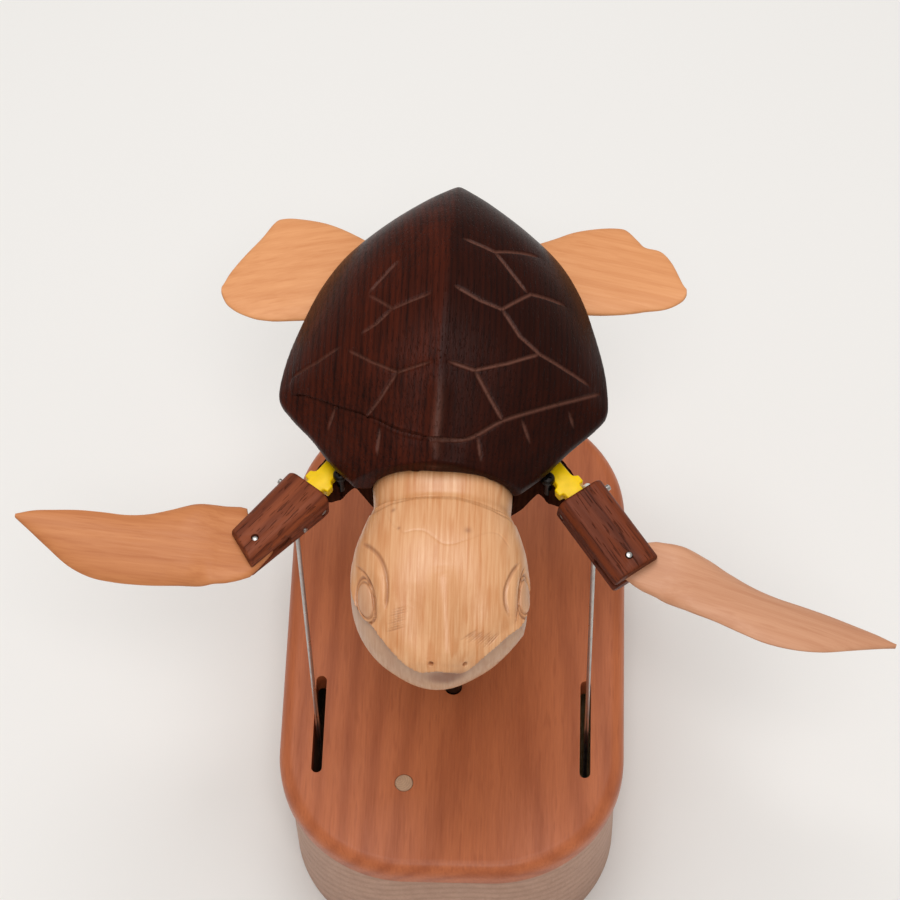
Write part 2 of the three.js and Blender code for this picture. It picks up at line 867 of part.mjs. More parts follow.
function upperArm(side) {
  const { sign, inset, room } = side;
  const armEnd = elbowReach + inset;
  const shape = new THREE.Shape(roundedOutline(armWidth, armThickness, armRound, 4));
  const blank = new THREE.ExtrudeGeometry(shape, {
    depth: armEnd - armStart - 2 * armBevel,
    bevelThickness: armBevel,
    bevelSize: armBevel,
    bevelOffset: -armBevel,
    bevelSegments: 2,
  }).rotateX(Math.PI / 2).rotateZ(Math.PI / 2).translate(armStart + armBevel, 0, nailDrop);
  const half = armWidth / 2 + overrun;
  const under = nailDrop - armThickness / 2 - overrun;
  const top = nailDrop + armThickness / 2 + overrun;
  const pocketEnd = linkTongue / 2 + 2 * fitGap;
  const pocketSides = acrossArm(sign, washerStart, washerEnd + fitGap);
  const pocket = boxBetween(armStart - overrun, pocketEnd, ...pocketSides, under, pocketHeight);
  const slotHalf = elbowSlotHeight / 2;
  const elbowSlot = boxBetween(
    elbowReach - room,
    armEnd + overrun,
    -half,
    half,
    nailDrop - slotHalf,
    nailDrop + slotHalf,
  );
  const eyeRoom = wireEyeRadius + wireDiameter + fitGap;
  const eyeAlong = wireAlong(side);
  const mortiseSides = acrossArm(
    sign,
    wireAcross + wireMortiseWidth / 2,
    wireMortiseWidth / 2 - wireAcross,
  );
  const mortise = boxBetween(
    eyeAlong - wireMortiseLength / 2,
    eyeAlong + wireMortiseLength / 2,
    ...mortiseSides,
    under,
    eyeRoom,
  );
  const nailHole = rod(bore(nailDiameter), 'y', -half, half, 12);
  const elbowHole = rod(bore(nailDiameter), 'z', under, top, 12).translate(elbowReach, 0, 0);
  const pinHole = rod(bore(wirePinDiameter), 'y', ...wirePinEnds(sign, half), 12)
    .translate(eyeAlong, 0, 0);
  const trims = armTrims(side, under, top);
  return cut(blank, pocket, elbowSlot, mortise, nailHole, elbowHole, pinHole, ...trims);
}

const wirePinEnds = (sign, outer) => (
  acrossArm(sign, outer, wireMortiseWidth - wireAcross)
);

function wirePin(side) {
  const ends = wirePinEnds(side.sign, armWidth / 2 - fitGap);
  return rod(wirePinDiameter / 2, 'y', ...ends, 12).translate(wireAlong(side), 0, 0);
}

function elbowPin() {
  const end = armThickness / 2 + nailProud;
  return rod(nailDiameter / 2, 'z', nailDrop - end, nailDrop + end, 12).translate(elbowReach, 0, 0);
}

// Front flipper: stations as shares of span, of chord before and behind the
// line from elbow to tip, and of thickness. Its tongue is a flat disc.

const bladeStart = 0.14;
const bladeRootShares = {
  left: [[bladeStart, 0.57, 0.51, 0.62], [0.2, 0.6, 0.49, 0.85]],
  right: [[bladeStart, 0.42, 0.44, 0.62], [0.2, 0.52, 0.46, 0.85]],
};
const bladeShares = [
  [0.28, 0.6, 0.44, 1], [0.37, 0.635, 0.33, 1], [0.46, 0.655, 0.235, 0.95],
  [0.55, 0.66, 0.19, 0.86], [0.65, 0.635, 0.185, 0.76], [0.75, 0.53, 0.17, 0.64],
  [0.85, 0.335, 0.13, 0.52], [0.93, 0.17, 0.09, 0.42], [1, 0.03, 0.02, 0.28],
];
const tongueShares = {
  left: [
    [-0.99, 0.1, 0.1], [-0.88, 0.46, 0.46], [-0.65, 0.9, 0.8], [-0.34, 1.5, 1.1], [0, 2, 1.52],
    [0.4, 2.22, 1.78], [0.76, 2.4, 2], [0.92, 2.46, 2.46], [1.3, 2.6, 2.52],
  ],
  right: [
    [-0.99, 0.1, 0.1], [-0.88, 0.46, 0.46], [-0.65, 0.74, 0.74], [-0.34, 0.92, 0.92], [0, 0.98, 0.98],
    [0.4, 1.1, 1.2], [0.8, 1.3, 1.5], [1.3, 1.6, 1.72],
  ],
};
const bladeSteps = 7;
const twistPower = 0.25;
const rootSlant = 4;

function bladeRing(x, ahead, behind, thickness, side, flat) {
  const root = side.span * bladeStart;
  const share = Math.max(0, (x - root) / (side.span - root));
  const twist = side.twist * share ** twistPower;
  const rise = side.rise * share * share;
  const slant = x > root ? rootSlant * Math.max(0, 1 - 4 * share) : 0;
  const power = flat ? 8 : 2.4;
  const ring = [];
  const pointAt = (q, surface) => {
    const across = (behind - ahead) / 2 + ((behind + ahead) / 2) * q;
    const half = (thickness / 2) * (1 - Math.abs(q) ** power) ** 0.6;
    const up = surface * Math.max(half, thickness * 0.04);
    const y = across * Math.cos(twist) - up * Math.sin(twist);
    const z = across * Math.sin(twist) + up * Math.cos(twist);
    const back = slant * Math.max(0, -across / ahead);
    ring.push(new THREE.Vector3(x - back, side.sign * y, z + rise));
  };
  for (let k = 0; k <= bladeSteps; k += 1) pointAt(-Math.cos((Math.PI * k) / bladeSteps), 1);
  for (let k = bladeSteps; k >= 0; k -= 1) pointAt(-Math.cos((Math.PI * k) / bladeSteps), -1);
  return ring;
}

function frontFlipper(side) {
  const tongueThickness = elbowSlotHeight - 2 * fitGap;
  const tongue = tongueShares[side.name].map(([along, ahead, behind]) => bladeRing(
    elbowTongueRadius * along,
    elbowTongueRadius * ahead,
    elbowTongueRadius * behind,
    tongueThickness,
    side,
    true,
  ));
  const shares = [...bladeRootShares[side.name], ...bladeShares];
  const blade = shares.map(([along, ahead, behind, thick]) => bladeRing(
    side.span * along,
    side.chord * ahead,
    side.chord * behind,
    Math.max(flipperThickness * thick, along < 0.18 ? tongueThickness : 0),
    side,
    along < 0.18,
  ));
  const pinHole = rod(bore(nailDiameter), 'z', -armThickness, armThickness, 16);
  return cut(loft([...tongue, ...blade]), pinHole);
}

// Rear flipper: a flat paddle whose root lies in a notch in the body

const paddleShares = {
  left: [
    [-0.2, -0.34, 0.32], [0.05, -0.38, 0.55], [0.27, -0.41, 0.7], [0.48, -0.43, 0.76], [0.6, -0.44, 0.76],
    [0.66, -0.435, 0.71], [0.74, -0.42, 0.53], [0.82, -0.38, 0.38], [0.89, -0.33, 0.24], [0.95, -0.26, 0.1],
    [0.98, -0.19, 0], [1, -0.12, -0.06],
  ],
  right: [
    [-0.2, -0.34, 0.32], [0.06, -0.38, 0.46], [0.21, -0.4, 0.55], [0.39, -0.41, 0.6], [0.53, -0.4, 0.605],
    [0.59, -0.39, 0.57], [0.66, -0.375, 0.46], [0.71, -0.36, 0.385], [0.82, -0.34, 0.34], [0.9, -0.3, 0.2],
    [0.97, -0.23, -0.03], [1, -0.16, -0.1],
  ],
};

function rearFlipper(side, grow = 0) {
  const rings = paddleShares[side.name].map(([along, ahead, behind]) => {
    const x = side.sign * (rearRootX + rearSpan * along);
    const middle = rearRootY + side.sign * rearStagger;
    const front = middle + rearChord * ahead - grow;
    const back = middle + rearChord * behind + grow;
    const thin = 1 - 0.62 * Math.max(0, along) ** 2;
    const half = (rearThickness / 2) * thin + grow;
    const level = rearTop - rearThickness / 2;
    const steps = 6;
    const ring = [];
    for (let k = 0; k < 2 * steps; k += 1) {
      const angle = (Math.PI * k) / steps;
      const across = Math.sign(Math.cos(angle)) * Math.abs(Math.cos(angle)) ** 0.7;
      const up = Math.sign(Math.sin(angle)) * Math.abs(Math.sin(angle)) ** 0.7;
      ring.push(new THREE.Vector3(
        x,
        (front + back) / 2 + ((back - front) / 2) * across,
        level + half * up,
      ));
    }
    return ring;
  });
  if (grow > 0) rings[0].forEach((point) => { point.x -= side.sign * grow; });
  return loft(rings);
}

// Body with the neck's seat, the shoulder shelves and the notches of the rear
// flippers

function bodyBlock() {
  const hull = loft(bodyShares.map(bodyRing));
  const shelfTop = -linkThickness / 2 - fitGap;
  const onShoulders = (makeShape) => sides.map((side) => (
    makeShape(side).applyMatrix4(shoulderFrame(side).matrix)
  ));
  const shelves = onShoulders(() => {
    const outline = roundedOutline(linkReach + 2 * shelfRadius, 2 * shelfRadius, shelfRadius, 4)
      .map((point) => new THREE.Vector2(point.x - clampReach - linkReach / 2, point.y));
    return slab(outline, shelfTop - shelfDepth, shelfTop);
  });
  const linkRooms = onShoulders(() => new THREE.ExtrudeGeometry(linkOutline(2 * fitGap), {
    depth: shellSeat + overrun - nailHeight - shelfTop,
    bevelEnabled: false,
    curveSegments: 6,
  }).translate(0, 0, shelfTop));
  const screwRooms = onShoulders((side) => {
    const place = [-clampReach, clampAcross(side), 0];
    const shank = rod(bore(screwShank), 'z', -linkThickness - screwDepth, overrun, 12);
    const head = rod(bore(screwHead), 'z', shelfTop, shellSeat + overrun - nailHeight, 16);
    return join(shank, head).translate(...place);
  });
  const notches = sides.map((side) => rearFlipper(side, fitGap));
  return cut(
    join(hull, ...shelves),
    neckAndHead(fitGap),
    ...linkRooms,
    ...screwRooms,
    ...notches,
  );
}

// The post goes up into the neck, in front of the body.
const postTop = headMiddle - postInset;

function postHole() {
  return rod(bore(postDiameter), 'z', shellSeat - 2 * bodyDepth, postTop + fitGap)
    .translate(0, postY, 0);
}

function shell() {
  const dome = loft(shellShares.map(shellRing))
    .rotateZ(degrees(shellYaw))
    .translate(shellShift, 0, 0);
  return cut(dome, neckAndHead(fitGap));
}

function supportPost() {
  return rod(postDiameter / 2, 'z', wallTop, postTop).translate(0, postY, 0);
}

// Push wire: an eye round the pin in the arm, a straight run down through the
// lid and an eye beside the crank pin
function pushWire(side) {
  const shoulder = shoulderFrame(side);
  const armMatrix = shoulder.matrix.clone().multiply(flapFrame(side).matrix);
  const upper = new THREE.Vector3(wireAlong(side), -side.sign * wireAcross, 0)
    .applyMatrix4(armMatrix);
  const lower = new THREE.Vector3(upper.x, crankPinY, shaftHeight);
  const eyeRing = wireEyeRadius + wireDiameter / 2;
  const along = lower.clone().sub(upper).normalize();
  const start = upper.clone().addScaledVector(along, eyeRing);
  const end = lower.clone().addScaledVector(along, -eyeRing);
  const run = tube(new THREE.LineCurve3(start, end), wireDiameter, 1);
  const eye = () => new THREE.TorusGeometry(eyeRing, wireDiameter / 2, 6, 14);
  const upperEye = eye().rotateX(Math.PI / 2).rotateZ(shoulder.rotation.z)
    .translate(upper.x, upper.y, upper.z);
  const lowerEye = eye().rotateY(Math.PI / 2).translate(lower.x, lower.y, lower.z);
  return join(run, upperEye, lowerEye);
}

// Assembly

add(automaton, 'lid_board', lidBoard(), cherry);
add(automaton, 'lid_plug', lidPlug(), paleWood);
add(automaton, 'housing_wall', housingWall(), paleWood);
add(automaton, 'bottom_board', bottomBoard(), plywood);
Object.entries(floorScrewPlaces).forEach(([name, place]) => {
  add(automaton, `floor_screw_${name}`, floorScrew(place), brass);
});

sides.forEach(({ name, sign }) => {
  const upright = bearingUpright(bearingThickness)
    .rotateZ(Math.PI / 2)
    .translate(sign * bearingX, crankshaftY, 0);
  add(automaton, `crankshaft_bearing_${name}`, upright, plywood);
  add(automaton, `crank_disc_${name}`, crankDisc(sign), maple);
  add(automaton, `crank_pin_${name}`, crankPin(sign), steel);
});
add(automaton, 'crankshaft', crankshaft(), steel);
add(automaton, 'driven_wheel', ontoDriven(pegWheel(drivenPhase)), maple);

add(automaton, 'input_bearing', bearingUpright(bearingThickness).translate(0, innerBearingY, 0), plywood);
add(automaton, 'input_shaft', inputShaft(), steel);
add(automaton, 'crown_wheel', ontoCrown(pegWheel(crownPhase)), maple);
add(automaton, 'rear_bush', rearBush(), brass);
add(automaton, 'shaft_collar', shaftCollar(), brass);
add(automaton, 'crank_arm', crankArm(), walnut);
add(automaton, 'knob_spindle', knobSpindle(), steel);
add(automaton, 'crank_knob', crankKnob(), maple);

add(automaton, 'support_post', supportPost(), blackSteel);
add(automaton, 'body_block', bodyBlock(), wenge);
add(automaton, 'shell', shell(), wenge);
add(automaton, 'neck_and_head', cut(neckAndHead(), postHole()), maple);

sides.forEach((side) => {
  const { name, sign, sweep } = side;
  const shoulder = shoulderFrame(side);
  const arm = flapFrame(side);
  const elbow = new THREE.Group();
  elbow.position.set(elbowReach, 0, nailDrop);
  elbow.rotation.z = sign * (yaw - sweep);
  automaton.add(shoulder);
  shoulder.add(arm);
  arm.add(elbow);
  add(automaton, `rear_flipper_${name}`, rearFlipper(side), orangeMaple);
  add(shoulder, `shoulder_link_${name}`, shoulderLink(), yellowPlastic);
  add(shoulder, `clamp_screw_${name}`, clampScrew(side), blackSteel);
  add(arm, `shoulder_nail_${name}`, shoulderNail(), steel);
  add(arm, `shoulder_washer_${name}`, shoulderWasher(side), whitePlastic);
  add(arm, `upper_arm_${name}`, upperArm(side), walnut);
  add(arm, `wire_pin_${name}`, wirePin(side), steel);
  add(arm, `elbow_pin_${name}`, elbowPin(), steel);
  add(elbow, `front_flipper_${name}`, frontFlipper(side), orangeMaple);
  add(automaton, `push_wire_${name}`, pushWire(side), steel);
});

export default automaton;
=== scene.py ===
"""A wooden crank automaton, dressed for rendering: a carved sea turtle that
swims over an oval box, with its hand crank at the back of the box."""

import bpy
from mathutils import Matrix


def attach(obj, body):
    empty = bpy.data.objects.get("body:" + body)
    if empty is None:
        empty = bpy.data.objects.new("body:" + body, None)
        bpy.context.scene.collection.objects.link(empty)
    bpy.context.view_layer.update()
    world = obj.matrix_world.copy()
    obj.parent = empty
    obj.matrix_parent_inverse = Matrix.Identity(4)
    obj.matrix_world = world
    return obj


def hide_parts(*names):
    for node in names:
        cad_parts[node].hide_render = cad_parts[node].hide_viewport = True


bl_info = {
    "name": "Wooden Crank Automaton",
    "version": (1, 0, 0),
    "blender": (4, 5, 0),
    "location": "3D View > Sidebar > Automaton",
    "description": "Carves and finishes a turtle automaton around its frame",
    "category": "Add Mesh",
}

import math

import bmesh
import bpy
import numpy as np
from bpy.props import FloatProperty, FloatVectorProperty, PointerProperty
from mathutils import Matrix, Vector
from mathutils.kdtree import KDTree

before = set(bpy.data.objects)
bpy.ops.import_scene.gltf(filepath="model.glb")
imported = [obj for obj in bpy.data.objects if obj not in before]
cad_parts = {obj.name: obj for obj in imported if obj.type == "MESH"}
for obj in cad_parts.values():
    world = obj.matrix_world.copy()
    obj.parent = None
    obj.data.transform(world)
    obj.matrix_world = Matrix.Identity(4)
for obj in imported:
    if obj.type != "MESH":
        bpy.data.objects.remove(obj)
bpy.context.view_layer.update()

MM = 0.001

# Sizes and places of the box and what stands on it, in millimetres
BOX_WIDTH, BOX_DEPTH, BOX_HEIGHT, BOX_CORNER = 110, 172, 62, 42
LID_BOTTOM, LID_OVERHANG, LID_EDGE, WALL = 53, 2.3, 4.5, 7
SLOT_X, SLOT_Y, SLOT_WIDTH, SLOT_LENGTH = 42.6, -36, 3.4, 34
THROUGH_LID = (50, 65)
PLUG_PLACE, PLUG_RADIUS = (-14.6, -56, 0), 2.8
POST_PLACE, POST_RADIUS, POST_TOP = (0, -22, 0), 2.5, 173
SHAFT_HEIGHT, CRANK_REACH = 29.5, 20
SHAFT_PLACE = (0, 0, SHAFT_HEIGHT)
KNOB_PLACE = (0, 0, SHAFT_HEIGHT - CRANK_REACH)
CRANK_PIN_Y = -40


# Selecting, shaping and placing

def clear_selection():
    if bpy.context.object and bpy.context.object.mode != "OBJECT":
        bpy.ops.object.mode_set(mode="OBJECT")
    bpy.ops.object.select_all(action="DESELECT")


def choose(obj):
    clear_selection()
    obj.select_set(True)
    bpy.context.view_layer.objects.active = obj


def settle(obj):
    """Puts the object's place, turn and size into its mesh."""
    choose(obj)
    bpy.ops.object.transform_apply(location=True, rotation=True, scale=True)


def modify(obj, kind, **settings):
    modifier = obj.modifiers.new(kind.title(), kind)
    for key, value in settings.items():
        setattr(modifier, key, value)
    choose(obj)
    bpy.ops.object.modifier_apply(modifier=modifier.name)


def edit(obj, mode, action="DESELECT"):
    """Opens the mesh for editing with nothing selected, or everything."""
    choose(obj)
    bpy.ops.object.mode_set(mode="EDIT")
    bpy.ops.mesh.select_mode(type=mode)
    bpy.ops.mesh.select_all(action=action)
    return bmesh.from_edit_mesh(obj.data)


def pick(obj, elements, test):
    for element in elements:
        element.select_set(bool(test(element)))
    bmesh.update_edit_mesh(obj.data)


def done():
    bpy.ops.object.mode_set(mode="OBJECT")


def bevel_edges(obj, test, offset, segments):
    mesh = edit(obj, "EDGE")
    pick(obj, mesh.edges, test)
    bpy.ops.mesh.bevel(offset=offset * MM, offset_type="OFFSET", segments=segments, affect="EDGES")
    done()


def mend(obj):
    """Merges doubles and turns the faces outwards."""
    edit(obj, "VERT", "SELECT")
    bpy.ops.mesh.remove_doubles(threshold=0.00001)
    bpy.ops.mesh.normals_make_consistent(inside=False)
    done()


def soften(obj, width, segments):
    """Rounds off every edge sharper than 50 degrees."""
    limit = {"limit_method": "ANGLE", "angle_limit": math.radians(50), "use_clamp_overlap": True}
    modify(obj, "BEVEL", width=width * MM, segments=segments, **limit)


def cut_away(obj, *cutters):
    for cutter in cutters:
        modify(obj, "BOOLEAN", operation="DIFFERENCE", object=cutter, solver="EXACT")
        bpy.data.objects.remove(cutter)


def place(obj, matrix):
    """Moves a piece from its own frame, in millimetres, to its place."""
    moved = matrix.copy()
    moved.translation = matrix.translation * MM
    obj.matrix_world = moved
    settle(obj)


def named(name):
    obj = bpy.context.object
    obj.name = name
    obj.data.name = name
    return obj


def built(name, points, edges, faces):
    """A new object from points in millimetres."""
    mesh = bpy.data.meshes.new(name)
    mesh.from_pydata((np.array(points, dtype=float) * MM).tolist(), edges, faces)
    obj = bpy.data.objects.new(name, mesh)
    bpy.context.collection.objects.link(obj)
    return obj


def box(name, low, high):
    low, high = Vector(low), Vector(high)
    bpy.ops.mesh.primitive_cube_add(size=1, location=(low + high) / 2 * MM, scale=(high - low) * MM)
    obj = named(name)
    settle(obj)
    return obj


AXES = {"y": Matrix.Rotation(-math.pi / 2, 4, "X"), "z": Matrix.Identity(4)}


def turned(name, profile, axis="z", at=(0, 0, 0), segments=48):
    """A profile of (radius, height) points, spun round an axis through a place."""
    points = [(radius, 0, height) for radius, height in profile]
    obj = built(name, points, [(k, k + 1) for k in range(len(points) - 1)], [])
    edit(obj, "VERT", "SELECT")
    bpy.ops.mesh.spin(steps=segments, angle=2 * math.pi, center=(0, 0, 0), axis=(0, 0, 1))
    done()
    mend(obj)
    place(obj, Matrix.Translation(at) @ AXES[axis])
    return obj


def rod(name, radius, start, end, axis="z", at=(0, 0, 0), segments=32, chamfer=0.0):
    profile = [(0, start), (radius, start), (radius, end), (0, end)]
    if chamfer:
        inner = radius - chamfer
        profile[1:3] = [(inner, start), (radius, start + chamfer), (radius, end - chamfer), (inner, end)]
    return turned(name, profile, axis, at, segments)


def plate(name, outline, low, high):
    """A flat outline, extruded upwards."""
    obj = built(name, [(x, y, low) for x, y in outline], [], [tuple(range(len(outline)))])
    edit(obj, "FACE", "SELECT")
    bpy.ops.mesh.extrude_region_move(TRANSFORM_OT_translate={"value": (0, 0, (high - low) * MM)})
    done()
    mend(obj)
    return obj


def arc(middle, radius, start, end, steps):
    angles = np.radians(np.linspace(start, end, steps + 1))
    return [(middle[0] + radius * math.cos(a), middle[1] + radius * math.sin(a)) for a in angles]


def smooth_rows(rows, steps):
    """The rows of a table, with smooth rows between them."""
    table = np.array(rows, dtype=float)
    ends = np.vstack([2 * table[0] - table[1], table, 2 * table[-1] - table[-2]])
    filled = []
    for k in range(len(table) - 1):
        a, b, c, d = ends[k:k + 4]
        for t in np.arange(steps) / steps:
            bend = (2 * a - 5 * b + 4 * c - d) * t * t + (3 * b - a - 3 * c + d) * t ** 3
            filled.append(0.5 * (2 * b + (c - a) * t + bend))
    filled.append(table[-1])
    return np.array(filled)


def lofted(name, rings):
    """A closed skin over rings of points."""
    count, last = len(rings[0]), len(rings) - 1
    corners = [(k * count, i, (i + 1) % count) for k in range(last) for i in range(count)]
    faces = [(start + i, start + j, start + count + j, start + count + i) for start, i, j in corners]
    faces += [tuple(range(count)), tuple(range(last * count, (last + 1) * count))]
    obj = built(name, np.concatenate([np.array(ring) for ring in rings]), [], faces)
    mend(obj)
    return obj


def reskin(obj, voxel, rounds):
    """An even skin of small faces, for carving."""
    modify(obj, "REMESH", mode="VOXEL", voxel_size=voxel * MM, use_smooth_shade=True)
    modify(obj, "SMOOTH", factor=0.5, iterations=rounds)


# Carving

def read_points(obj):
    """The points of a mesh in millimetres, and its normals."""
    both = np.empty((2, len(obj.data.vertices) * 3))
    obj.data.vertices.foreach_get("co", both[0])
    obj.data.vertices.foreach_get("normal", both[1])
    return both[0].reshape(-1, 3) / MM, both[1].reshape(-1, 3)


def write_points(obj, points):
    obj.data.vertices.foreach_set("co", (points * MM).ravel())
    obj.data.update()


def write_shade(obj, name, values):
    shade = obj.data.attributes.get(name) or obj.data.attributes.new(name, "FLOAT", "POINT")
    shade.data.foreach_set("value", np.ascontiguousarray(values, dtype=np.float32))


def read_shade(obj, name):
    values = np.empty(len(obj.data.vertices), dtype=np.float32)
    obj.data.attributes[name].data.foreach_get("value", values)
    return values


def lines_on(obj, cuts, spacing=0.25, taper=2.0):
    """Points along each cut, laid on the surface, with how deep, wide and dark it is there."""
    places, sizes = [], []
    for line, depth, width, dark in cuts:
        rows = smooth_rows(line, 24)
        steps = np.linalg.norm(np.diff(rows, axis=0), axis=1)
        along = np.concatenate([[0], np.cumsum(steps)])
        count = max(2, int(along[-1] / spacing))
        for s in np.linspace(0, along[-1], count):
            spot = Vector([np.interp(s, along, rows[:, k]) for k in range(3)]) * MM
            share = 0.25 + 0.75 * min(1, min(s, along[-1] - s) / taper)
            places.append(obj.closest_point_on_mesh(spot)[1] / MM)
            sizes.append((depth * share, width * (0.5 + 0.5 * share), dark * share))
    return places, np.array(sizes)


def nearest(points, places):
    """The nearest of some places to each point, and how far it is."""
    tree = KDTree(len(places))
    for k, spot in enumerate(places):
        tree.insert(spot, k)
    tree.balance()
    found = [tree.find(point) for point in points]
    return np.array([f[1] for f in found]), np.array([f[2] for f in found])


def beside(obj, line, spacing, taper):
    """The points of a mesh, its normals, how far each lies from a line and the line's weight there."""
    places, sizes = lines_on(obj, [(line, 1, 1, 1)], spacing, taper)
    points, normals = read_points(obj)
    index, far = nearest(points, places)
    return points, normals, far, sizes[index, 0]


def refine(obj, places, reach, cuts=1):
    """Smaller faces near some places."""
    index, far = nearest(read_points(obj)[0], places)
    close = far < reach
    mesh = edit(obj, "FACE")
    mesh.verts.ensure_lookup_table()
    pick(obj, mesh.faces, lambda face: any(close[v.index] for v in face.verts))
    bpy.ops.mesh.subdivide(number_cuts=cuts)
    done()


def kinked(line):
    """The same line with a tight turn at each of its points."""
    points = np.array(line, dtype=float)
    filled = []
    for start, end in zip(points, points[1:]):
        filled += [start + (end - start) * share for share in (0, 0.08, 0.5, 0.92)]
    return [*filled, points[-1]]


def carve(obj, cuts, dip, reach):
    """V cuts along lines, with the wood dipping a little towards each of them."""
    places, sizes = lines_on(obj, cuts)
    refine(obj, places, sizes[:, 1].max() + 0.9)
    points, normals = read_points(obj)
    index, far = nearest(points, places)
    depth, width, dark = sizes[index].T
    vee = np.clip(1 - far / width, 0, 1) ** 0.8
    write_points(obj, points - normals * (depth * vee + dip * np.exp(-far / reach))[:, None])
    # How dark each cut is: on the head this becomes painted shade in the cuts, on the shell the lighter tone
    # of its cuts
    write_shade(obj, "carved", vee * dark)


def swell(obj, line, height, width):
    """Raises the wood along a line, or hollows it where the height is negative."""
    points, normals, far, weight = beside(obj, line, 0.5, width * 1.5)
    write_points(obj, points + normals * (height * weight * np.exp(-(far / width) ** 2))[:, None])


def crease(obj, line, lip, drop, reach):
    """An edge along a line: the wood over it stands out and the flat under it falls back. Gives how
    far each point belongs to that flat."""
    places, sizes = lines_on(obj, [(line, 1, 1, 1)], 0.4, 7)
    refine(obj, places, 2.2)
    points, normals = read_points(obj)
    index, far = nearest(points, places)
    weight = sizes[index, 0]
    below = points[:, 2] < np.array([place.z for place in places])[index]
    over = np.where(below, 0, lip * np.exp(-(far / 1.5) ** 2))
    under = np.where(below, drop * (1 - np.exp(-(far / 0.6) ** 2)) * np.exp(-far / reach), 0)
    write_points(obj, points + normals * (weight * (over - under))[:, None])
    return np.where(below, np.clip(far / 0.8, 0, 1) * np.exp(-far / reach), 0) * weight


# Woods, metals and plastics

class Shader:
    """The nodes of one material."""

    def __init__(self, name):
        self.material = bpy.data.materials.new(name)
        self.material.use_nodes = True
        self.nodes = self.material.node_tree.nodes
        self.links = self.material.node_tree.links
        self.surface = self.nodes["Principled BSDF"]

    def node(self, kind, inputs, **settings):
        made = self.nodes.new(f"ShaderNode{kind}")
        for key, value in settings.items():
            setattr(made, key, value)
        self.set(made, inputs)
        return made

    def set(self, node, inputs):
        """Links or sets the inputs of a node. Three numbers for a colour get their fourth."""
        for key, value in inputs.items():
            socket = node.inputs[key]
            if isinstance(value, bpy.types.NodeSocket):
                self.links.new(value, socket)
            else:
                socket.default_value = (*value, 1.0) if socket.type == "RGBA" else value

    def look(self, **inputs):
        """Sets the surface itself, each input by its name with the spaces left as underscores."""
        self.set(self.surface, {key.replace("_", " "): value for key, value in inputs.items()})

    def math(self, operation, a, b, clamp=False):
        return self.node("Math", {0: a, 1: b}, operation=operation, use_clamp=clamp).outputs[0]

    def times(self, a, b):
        return self.math("MULTIPLY", a, b)

    def mix(self, share, a, b):
        return self.node("Mix", {"Factor": share, "A": a, "B": b}, data_type="RGBA").outputs["Result"]

    def spread(self, value, low, high, to_low=0.0, to_high=1.0):
        inputs = {"Value": value, "From Min": low, "From Max": high, "To Min": to_low, "To Max": to_high}
        return self.node("MapRange", inputs).outputs[0]

    def noise(self, place, scale, detail, roughness):
        inputs = {"Vector": place, "Scale": scale, "Detail": detail, "Roughness": roughness}
        return self.node("TexNoise", inputs).outputs[0]

    def coordinates(self, turn=(0, 0, 0), stretch=(1, 1, 1), middle=(0, 0, 0)):
        """The place on the object, seen from a middle, turned, and drawn out along each axis."""
        object_place = self.node("TexCoord", {}).outputs["Object"]
        inputs = {"Vector": object_place, "Rotation": turn, "Scale": stretch, "Location": middle}
        return self.node("Mapping", inputs, vector_type="TEXTURE").outputs[0]

    def bump(self, height, depth):
        made = self.node("Bump", {"Height": height, "Distance": depth * MM, "Strength": 1.0})
        self.look(Normal=made.outputs[0])

    def shade(self, name):
        return self.node("Attribute", {}, attribute_name=name).outputs["Fac"]


def srgb(red, green, blue):
    """A colour as seen on a screen, 0 to 255, as linear light."""
    shares = (red / 255, green / 255, blue / 255)
    return tuple(c / 12.92 if c <= 0.04 else ((c + 0.055) / 1.055) ** 2.4 for c in shares)


